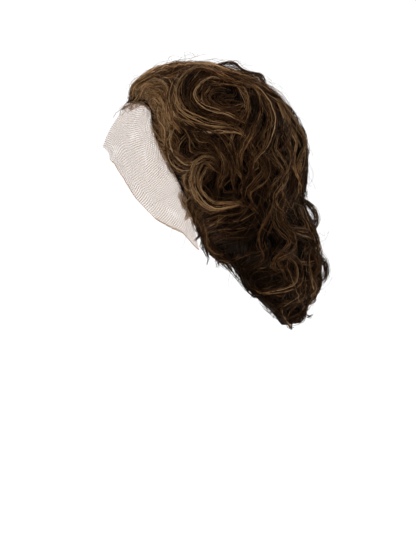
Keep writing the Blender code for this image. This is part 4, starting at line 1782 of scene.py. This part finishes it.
@dataclass(frozen=True)
class BackingFinish:
    """Painted shade for the hair deep in a section: nearly black, with faint strands in it."""

    name: str = "hair_deep_in_painted_shade"
    strand_mm: float = 1.6
    roughness: float = 0.75
    specular: float = 0.05

    def build(self) -> bpy.types.Material:
        """Makes the material.

        Returns:
            The material.
        """
        material, tree, shader = blank_material(self.name)
        place = add_node(tree, "ShaderNodeTexCoord")
        stretch = add_node(
            tree, "ShaderNodeMapping", {0: place.outputs["Object"], "Scale": (1, 1, 0.15)}
        )
        grain = add_node(
            tree, "ShaderNodeTexNoise",
            {"Vector": stretch.outputs[0], "Scale": 1 / (self.strand_mm * MM), "Detail": 2.0},
        )
        # Painted shade: the packed hair is nearly black, much darker than the strands over it
        tone = fill_ramp(
            add_node(tree, "ShaderNodeValToRGB", {0: grain.outputs[0]}),
            ((0.3, "040201"), (0.55, "0a0603"), (0.75, "180e08")),
        )
        feed(tree, shader, {
            "Base Color": tone.outputs["Color"], "Roughness": self.roughness,
            "Specular IOR Level": self.specular,
        })
        return material


@dataclass(frozen=True)
class NetPattern:
    """A hexagonal net drawn with maths nodes on a millimetre UV map."""

    pitch: float
    thread: float

    def steps(self) -> list[tuple]:
        """Lists the net's maths.

        Returns:
            A row for each node: its result's name, its operation, and its inputs as values or as
            names of results. They start from across and up, in millimetres, and the last result,
            net, is 1 on a thread and 0 in a hole.
        """
        rows = []
        for cell, shift in (("even_cell", 0.0), ("odd_cell", 0.5)):
            for axis, place, size in (("x", "across", self.pitch), ("y", "up", self.pitch * ROOT_3)):
                rows += [
                    (axis, "DIVIDE", place, size), (axis, "ADD", axis, shift), (axis, "FRACT", axis),
                    (axis, "SUBTRACT", axis, 0.5), (axis, "ABSOLUTE", axis),
                ]
            rows += [
                ("y", "MULTIPLY", "y", ROOT_3), ("half", "MULTIPLY", "x", 0.5),
                ("slant", "MULTIPLY", "y", ROOT_3 / 2), ("slant", "ADD", "half", "slant"),
                (cell, "MAXIMUM", "x", "slant"),
            ]
        threads = 0.5 - self.thread / self.pitch / 2
        return rows + [("near", "MINIMUM", "even_cell", "odd_cell"), ("net", "GREATER_THAN", "near", threads)]


@dataclass(frozen=True)
class LaceFinish:
    """Sheer wig lace: fine hexagonal net of pale monofilament, with a knotted free edge.

    Real lace of this kind has about 0.8 mm cells and 0.1 mm thread. It is drawn three times
    as coarse, with the same share of thread, so that it still shows as net and not as fog.
    """

    name: str = "sheer_hexagonal_lace"
    net: NetPattern = NetPattern(pitch=2.6, thread=0.4)
    thread_colour: str = "a8896f"
    uv_mm: float = 400.0
    edge_mm: float = 0.9
    roughness: float = 0.55

    def build(self) -> bpy.types.Material:
        """Makes the material.

        Returns:
            The material.
        """
        material, tree, shader = blank_material(self.name)
        uv = add_node(tree, "ShaderNodeUVMap", uv_map=UV_MAP)
        split = add_node(tree, "ShaderNodeSeparateXYZ", {0: uv.outputs["UV"]})
        results = {"u": split.outputs["X"], "v": split.outputs["Y"]}
        rows = [("across", "MULTIPLY", "u", self.uv_mm), ("up", "MULTIPLY", "v", self.uv_mm)]
        rows += self.net.steps()
        rows += [("edge", "LESS_THAN", "up", self.edge_mm), ("alpha", "MAXIMUM", "net", "edge")]
        for name, operation, *items in rows:
            inputs = {i: results.get(item, item) for i, item in enumerate(items)}
            results[name] = add_node(tree, "ShaderNodeMath", inputs, operation=operation).outputs[0]
        feed(tree, shader, {
            "Base Color": hex_colour(self.thread_colour), "Alpha": results["alpha"],
            "Roughness": self.roughness,
        })
        return material


@dataclass
class LaceFront:
    """The lace from the cap's seam down to its free edge in front."""

    form: WigForm
    widest: float = 81.0
    columns: int = 108
    rows: int = 40
    seam_gap: float = 0.3
    lift: float = 0.55
    ragged: float = 0.35
    mm_per_station: float = 100.0
    peak_station: float = 1.04
    peak_reach: float = 8.0
    peak_half_angle: float = 11.0
    peak_rise: float = 0.30
    peak_fall: float = 0.12
    cap_edge: tuple = (
        (0, 0.46), (27, 0.47), (45, 0.53), (54, 0.60), (63, 0.76), (72, 1.02), (81, 1.30),
    )
    free_edge: tuple = (
        (0, 1.17), (12, 1.23), (22, 1.40), (31, 1.62), (45, 1.84), (57, 1.93), (68, 1.99),
        (77, 2.14), (81, 2.18),
    )

    def stand_off(self, angle: np.ndarray, station: np.ndarray) -> np.ndarray:
        """How far the lace peaks off the form at its lowest point in front.

        Args:
            angle: angles.
            station: their stations.

        Returns:
            Millimetres.
        """
        rise = 1 - (self.peak_station - station) / self.peak_rise
        fall = 1 - (station - self.peak_station) / self.peak_fall
        along = np.clip(np.where(station < self.peak_station, rise, fall), 0, 1)
        return self.peak_reach * along**2 * np.exp(-np.abs(angle) / self.peak_half_angle)

    def build(self) -> bpy.types.Object:
        """Makes the lace as a single open layer, with millimetres in its UV map.

        Returns:
            The object, not linked yet.
        """
        made = grid_patch(self.columns, self.rows)
        made.verts.index_update()
        flat = np.array([vert.co[:2] for vert in made.verts])
        angle = (flat[:, 0] * 2 - 1) * self.widest
        seam, free = (
            np.interp(np.abs(angle), *np.array(edge, float).T) for edge in (self.cap_edge, self.free_edge)
        )
        seam = seam + self.seam_gap / self.mm_per_station
        wavy = 1 + np.sin(angle * 1.9) * np.sin(angle * 0.7 + 1)
        free = free - self.ragged / self.mm_per_station * wavy
        station = free + flat[:, 1] * (seam - free)
        out = self.form.outward(angle, station)
        lift = self.lift + self.stand_off(angle, station)
        places = self.form.place(angle, station, 0.0) + out * lift[:, None]
        return self.measured(made, flat, places)

    def measured(self, made: bmesh.types.BMesh, flat: np.ndarray, places: np.ndarray) -> bpy.types.Object:
        """Sets the places and the UV map of the patch.

        Args:
            made: the flat patch.
            flat: its own places, 0 to 1 across and from the free edge up.
            places: where each vertex goes, in millimetres.

        Returns:
            The object, not linked yet.
        """
        order = np.lexsort((flat[:, 0], flat[:, 1]))
        grid = places[order].reshape(self.rows + 1, self.columns + 1, 3)
        across, up = (
            np.insert(np.cumsum(np.linalg.norm(np.diff(grid, axis=axis), axis=2), axis=axis), 0, 0, axis=axis)
            for axis in (1, 0)
        )
        across -= across[:, self.columns // 2][:, None]
        uv = np.empty((len(flat), 2))
        uv[order] = np.stack([across, up], axis=-1).reshape(-1, 2) / LaceFinish.uv_mm
        layer = made.loops.layers.uv.new(UV_MAP)
        for vert in made.verts:
            vert.co = places[vert.index] * MM
            for loop in vert.link_loops:
                loop[layer].uv = uv[vert.index]
        bmesh.ops.recalc_face_normals(made, faces=made.faces)
        return mesh_object("lace_front_net", made)


@dataclass(frozen=True)
class CapFinish:
    """The cap's stretch net: dark brown polyester with bands of wefted hair sewn across it.

    The real net has cells under 1 mm, drawn here at 2.4 mm so that they still show, and the
    seams where hair is machine-sewn run round the cap about 9 mm apart.
    """

    name: str = "stretch_net_with_wefts"
    cell_mm: float = 2.4
    weft_mm: float = 9.0
    weft_colour: str = "120c08"
    roughness: float = 0.8

    def build(self) -> bpy.types.Material:
        """Makes the material.

        Returns:
            The material.
        """
        material, tree, shader = blank_material(self.name)
        place = add_node(tree, "ShaderNodeTexCoord").outputs["Object"]
        cells = add_node(
            tree, "ShaderNodeTexVoronoi", {"Vector": place, "Scale": 1 / (self.cell_mm * MM)},
            feature="DISTANCE_TO_EDGE",
        )
        net = fill_ramp(
            add_node(tree, "ShaderNodeValToRGB", {0: cells.outputs["Distance"]}),
            ((0.0, "4a382b"), (0.08, "382a20"), (0.16, "1b130e")),
        )
        bands = add_node(
            tree, "ShaderNodeTexWave",
            {"Vector": place, "Scale": 1 / (self.weft_mm * MM) / math.pi, "Distortion": 0.6},
            bands_direction="Z",
        )
        weft = fill_ramp(
            add_node(tree, "ShaderNodeValToRGB", {0: bands.outputs["Fac"]}),
            ((0.82, "000000"), (0.9, "ffffff")),
        )
        mixed = add_node(
            tree, "ShaderNodeMix",
            {0: weft.outputs["Color"], MIX_A: net.outputs["Color"], MIX_B: hex_colour(self.weft_colour)},
            data_type="RGBA",
        )
        bump = add_node(
            tree, "ShaderNodeBump",
            {"Height": cells.outputs["Distance"], "Strength": 0.6, "Distance": 0.6 * MM}, invert=True,
        )
        feed(tree, shader, {
            "Base Color": mixed.outputs[MIX_OUT], "Normal": bump.outputs[0], "Roughness": self.roughness,
        })
        return material


@dataclass
class Studio:
    """The pale floor, soft lights, white surroundings and the camera."""

    frame_width: int = 416
    frame_height: int = 555
    mm_per_pixel: float = 1.1
    crown_pixel: tuple = (210, 73)
    distance: float = 3.6
    sensor: float = 36.0
    floor_z: float = -1.15
    floor_radius: float = 6.0
    floor_glow: tuple = (1.2, 4.0, 0.22, 0.85)
    surroundings: tuple = (0.2, 1.05)
    aim: tuple = (0, 0, -0.12)
    lights: tuple = (
        ("key_light", (1.7, -1.5, 1.9), 84, 0.8, "fff4e8"),
        ("fill_light", (2.4, 1.3, 0.2), 10, 1.3, "fff8f2"),
        ("right_light", (-2.0, -0.6, 1.6), 46, 1.0, "fff8f0"),
        ("back_light", (-0.5, 2.4, 1.3), 34, 1.0, "fff8f0"),
    )

    def add_camera(self) -> None:
        """Sets the camera square on to the wig's left side, as the photograph is taken."""
        data = bpy.data.cameras.new("camera")
        camera = bpy.data.objects.new("camera", data)
        bpy.context.scene.collection.objects.link(camera)
        y = (self.frame_width / 2 - self.crown_pixel[0]) * self.mm_per_pixel * MM
        z = (self.crown_pixel[1] - self.frame_height / 2) * self.mm_per_pixel * MM
        camera.location = (self.distance, y, z)
        camera.rotation_euler = (math.radians(90), 0, math.radians(90))
        tall = self.frame_height * self.mm_per_pixel * MM
        data.sensor_fit = "VERTICAL"
        data.sensor_height = self.sensor
        data.lens = self.sensor * self.distance / tall
        data.dof.use_dof = False
        data.clip_end = 50
        bpy.context.scene.camera = camera

    def add_floor(self) -> None:
        """Lays a round pale floor, well under the wig."""
        made = bmesh.new()
        bmesh.ops.create_circle(made, cap_ends=True, radius=self.floor_radius, segments=96)
        bmesh.ops.translate(made, verts=made.verts, vec=(0, 0, self.floor_z))
        floor = mesh_object("floor", made)
        material, tree, shader = blank_material("matt_white_paper")
        place = add_node(tree, "ShaderNodeTexCoord").outputs["Object"]
        away = add_node(tree, "ShaderNodeVectorMath", {0: place}, operation="LENGTH")
        glow = add_node(
            tree, "ShaderNodeMapRange", {0: away.outputs["Value"], **dict(enumerate(self.floor_glow, 1))}
        )
        feed(tree, shader, {
            "Base Color": hex_colour("fafafa"), "Roughness": 0.9, "Emission Color": hex_colour("ffffff"),
            "Emission Strength": glow.outputs[0],
        })
        bpy.context.scene.collection.objects.link(floor)
        floor.data.materials.append(material)

    def add_light(self, name: str, place: tuple, power: float, size: float, colour: str) -> None:
        """Adds a square soft light that faces the wig.

        Args:
            name: the light's name.
            place: where it hangs, in metres.
            power: watts.
            size: the side of its square.
            colour: sRGB hex.
        """
        data = bpy.data.lights.new(name, "AREA")
        data.energy = power
        data.size = size
        data.color = hex_colour(colour)[:3]
        light = bpy.data.objects.new(name, data)
        light.location = place
        aim = Vector(self.aim) - Vector(place)
        light.rotation_euler = aim.to_track_quat("-Z", "Y").to_euler()
        bpy.context.scene.collection.objects.link(light)

    def add_world(self) -> None:
        """Surrounds the scene with white, which lights it less than it shows."""
        world = bpy.data.worlds.new("white_surroundings")
        world.use_nodes = True
        tree = world.node_tree
        seen = add_node(tree, "ShaderNodeLightPath")
        strength = add_node(
            tree, "ShaderNodeMapRange",
            {0: seen.outputs["Is Camera Ray"], **dict(enumerate(self.surroundings, 3))},
        )
        feed(tree, tree.nodes["Background"], {0: hex_colour("ffffff"), 1: strength.outputs[0]})
        bpy.context.scene.world = world
        bpy.context.scene.view_settings.view_transform = "Standard"

    def build(self) -> None:
        """Sets up everything round the wig."""
        self.add_camera()
        self.add_floor()
        self.add_world()
        for light in self.lights:
            self.add_light(*light)


def section_patches(surface: HairSurface) -> list[HairBacking]:
    """Lists the backing of each section, over the same stretch of the form as its solid.

    Args:
        surface: the surface that the hair lies on.

    Returns:
        The backings, with their rough sizes in millimetres across and down.
    """
    top = surface.crown_station
    nape, low = surface.nape_station, surface.lowest_station
    corner, back = surface.hairline[-1][0], surface.back_angle

    def mirrored(angles: Callable) -> Callable:
        """The same angles on the other side."""
        return lambda u, station: -angles(u, station)

    def side(u: np.ndarray, station: np.ndarray) -> np.ndarray:
        """Angles from the side's hairline to the back."""
        first = surface.edge_angle(station)
        return first + u * (back - first)

    def hanging(u: np.ndarray, station: np.ndarray) -> np.ndarray:
        """Angles from the front edge of the hanging hair to the middle of the back."""
        first = surface.edge_angle(station)
        return first + u * (180 - first)

    def front_stations(u: np.ndarray, v: np.ndarray) -> np.ndarray:
        """Stations from the crown to the hairline."""
        return top + v * (surface.hairline_station((2 * u - 1) * corner) - top)

    def middle(u: np.ndarray, v: np.ndarray) -> np.ndarray:
        """Stations from the crown to the nape."""
        return top + v * (nape - top)

    def lowest(u: np.ndarray, v: np.ndarray) -> np.ndarray:
        """Stations from the nape to the tips, which end unevenly."""
        return nape + v * (low - surface.ragged * (1 + np.sin(u * surface.ragged_beat)) - nape)

    def over(first: float, last: float) -> Callable:
        """Angles from the first to the last, the same at every station."""
        return lambda u, station: first + u * (last - first)

    return [
        HairBacking(surface, Section.CROWN, 270, 66, over(-180, 180), lambda u, v: v * top),
        HairBacking(surface, Section.FRONT, 110, 36, over(-corner, corner), front_stations),
        HairBacking(surface, Section.LEFT, 120, 150, side, middle),
        HairBacking(surface, Section.RIGHT, 120, 150, mirrored(side), middle),
        HairBacking(surface, Section.BACK, 200, 150, over(back, 360 - back), middle),
        HairBacking(surface, Section.NAPE_LEFT, 150, 145, hanging, lowest),
        HairBacking(surface, Section.NAPE_RIGHT, 150, 145, mirrored(hanging), lowest),
    ]


def dress_hair(surface: HairSurface, hair: bpy.types.Material) -> None:
    """Makes each section's strands and the loose hairs, each kind as one piece.

    Args:
        surface: the surface that they lie on.
        hair: their material.
    """
    batches = {}
    for ending, kinds in (
        ("locks", (HairLocks(surface),)),
        ("strands", (UnderHair(surface), InnerHair(surface), LooseWaves(surface), HairlineRoots(surface))),
    ):
        sections = {section.value: StrandBatch() for section in Section}
        for kind in kinds:
            kind.fill(sections)
        batches.update({f"{name}_{ending}": batch for name, batch in sections.items() if batch.lines})
    for name, kind in (
        ("hairline_baby_hairs", LaceHairs(surface)), ("flyaway_hairs", Flyaways(surface)),
        ("free_curls", FreeCurls(surface)),
    ):
        batches[name] = StrandBatch()
        kind.fill({name: batches[name]})
    for name, batch in batches.items():
        piece = finish_piece(batch.make(name), hair)
        log.info("%s: %d triangles", piece.name, batch.triangles())
    log.info("strand triangles in all: %d", sum(batch.triangles() for batch in batches.values()))


def dress_lace(form: WigForm) -> None:
    """Args:
        form: the form that it lies on.
    """
    lace = finish_piece(LaceFront(form).build(), LaceFinish().build())
    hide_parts("lace_front")


def main() -> None:
    """Builds the wig and the studio round it."""
    logging.basicConfig(level=logging.INFO, format="%(message)s")
    surface = HairSurface()
    Studio().build()
    hair, backing = HairFinish().build(), BackingFinish().build()
    for patch in section_patches(surface):
        piece = finish_piece(patch.build(), backing)
        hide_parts(patch.section.value)
        log.info("%s: %d faces", piece.name, len(piece.data.polygons))
    dress_hair(surface, hair)
    dress_lace(surface.form)
    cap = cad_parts["cap"]
    cap.data.materials.clear()
    cap.data.materials.append(CapFinish().build())


if __name__ == "__main__":
    main()
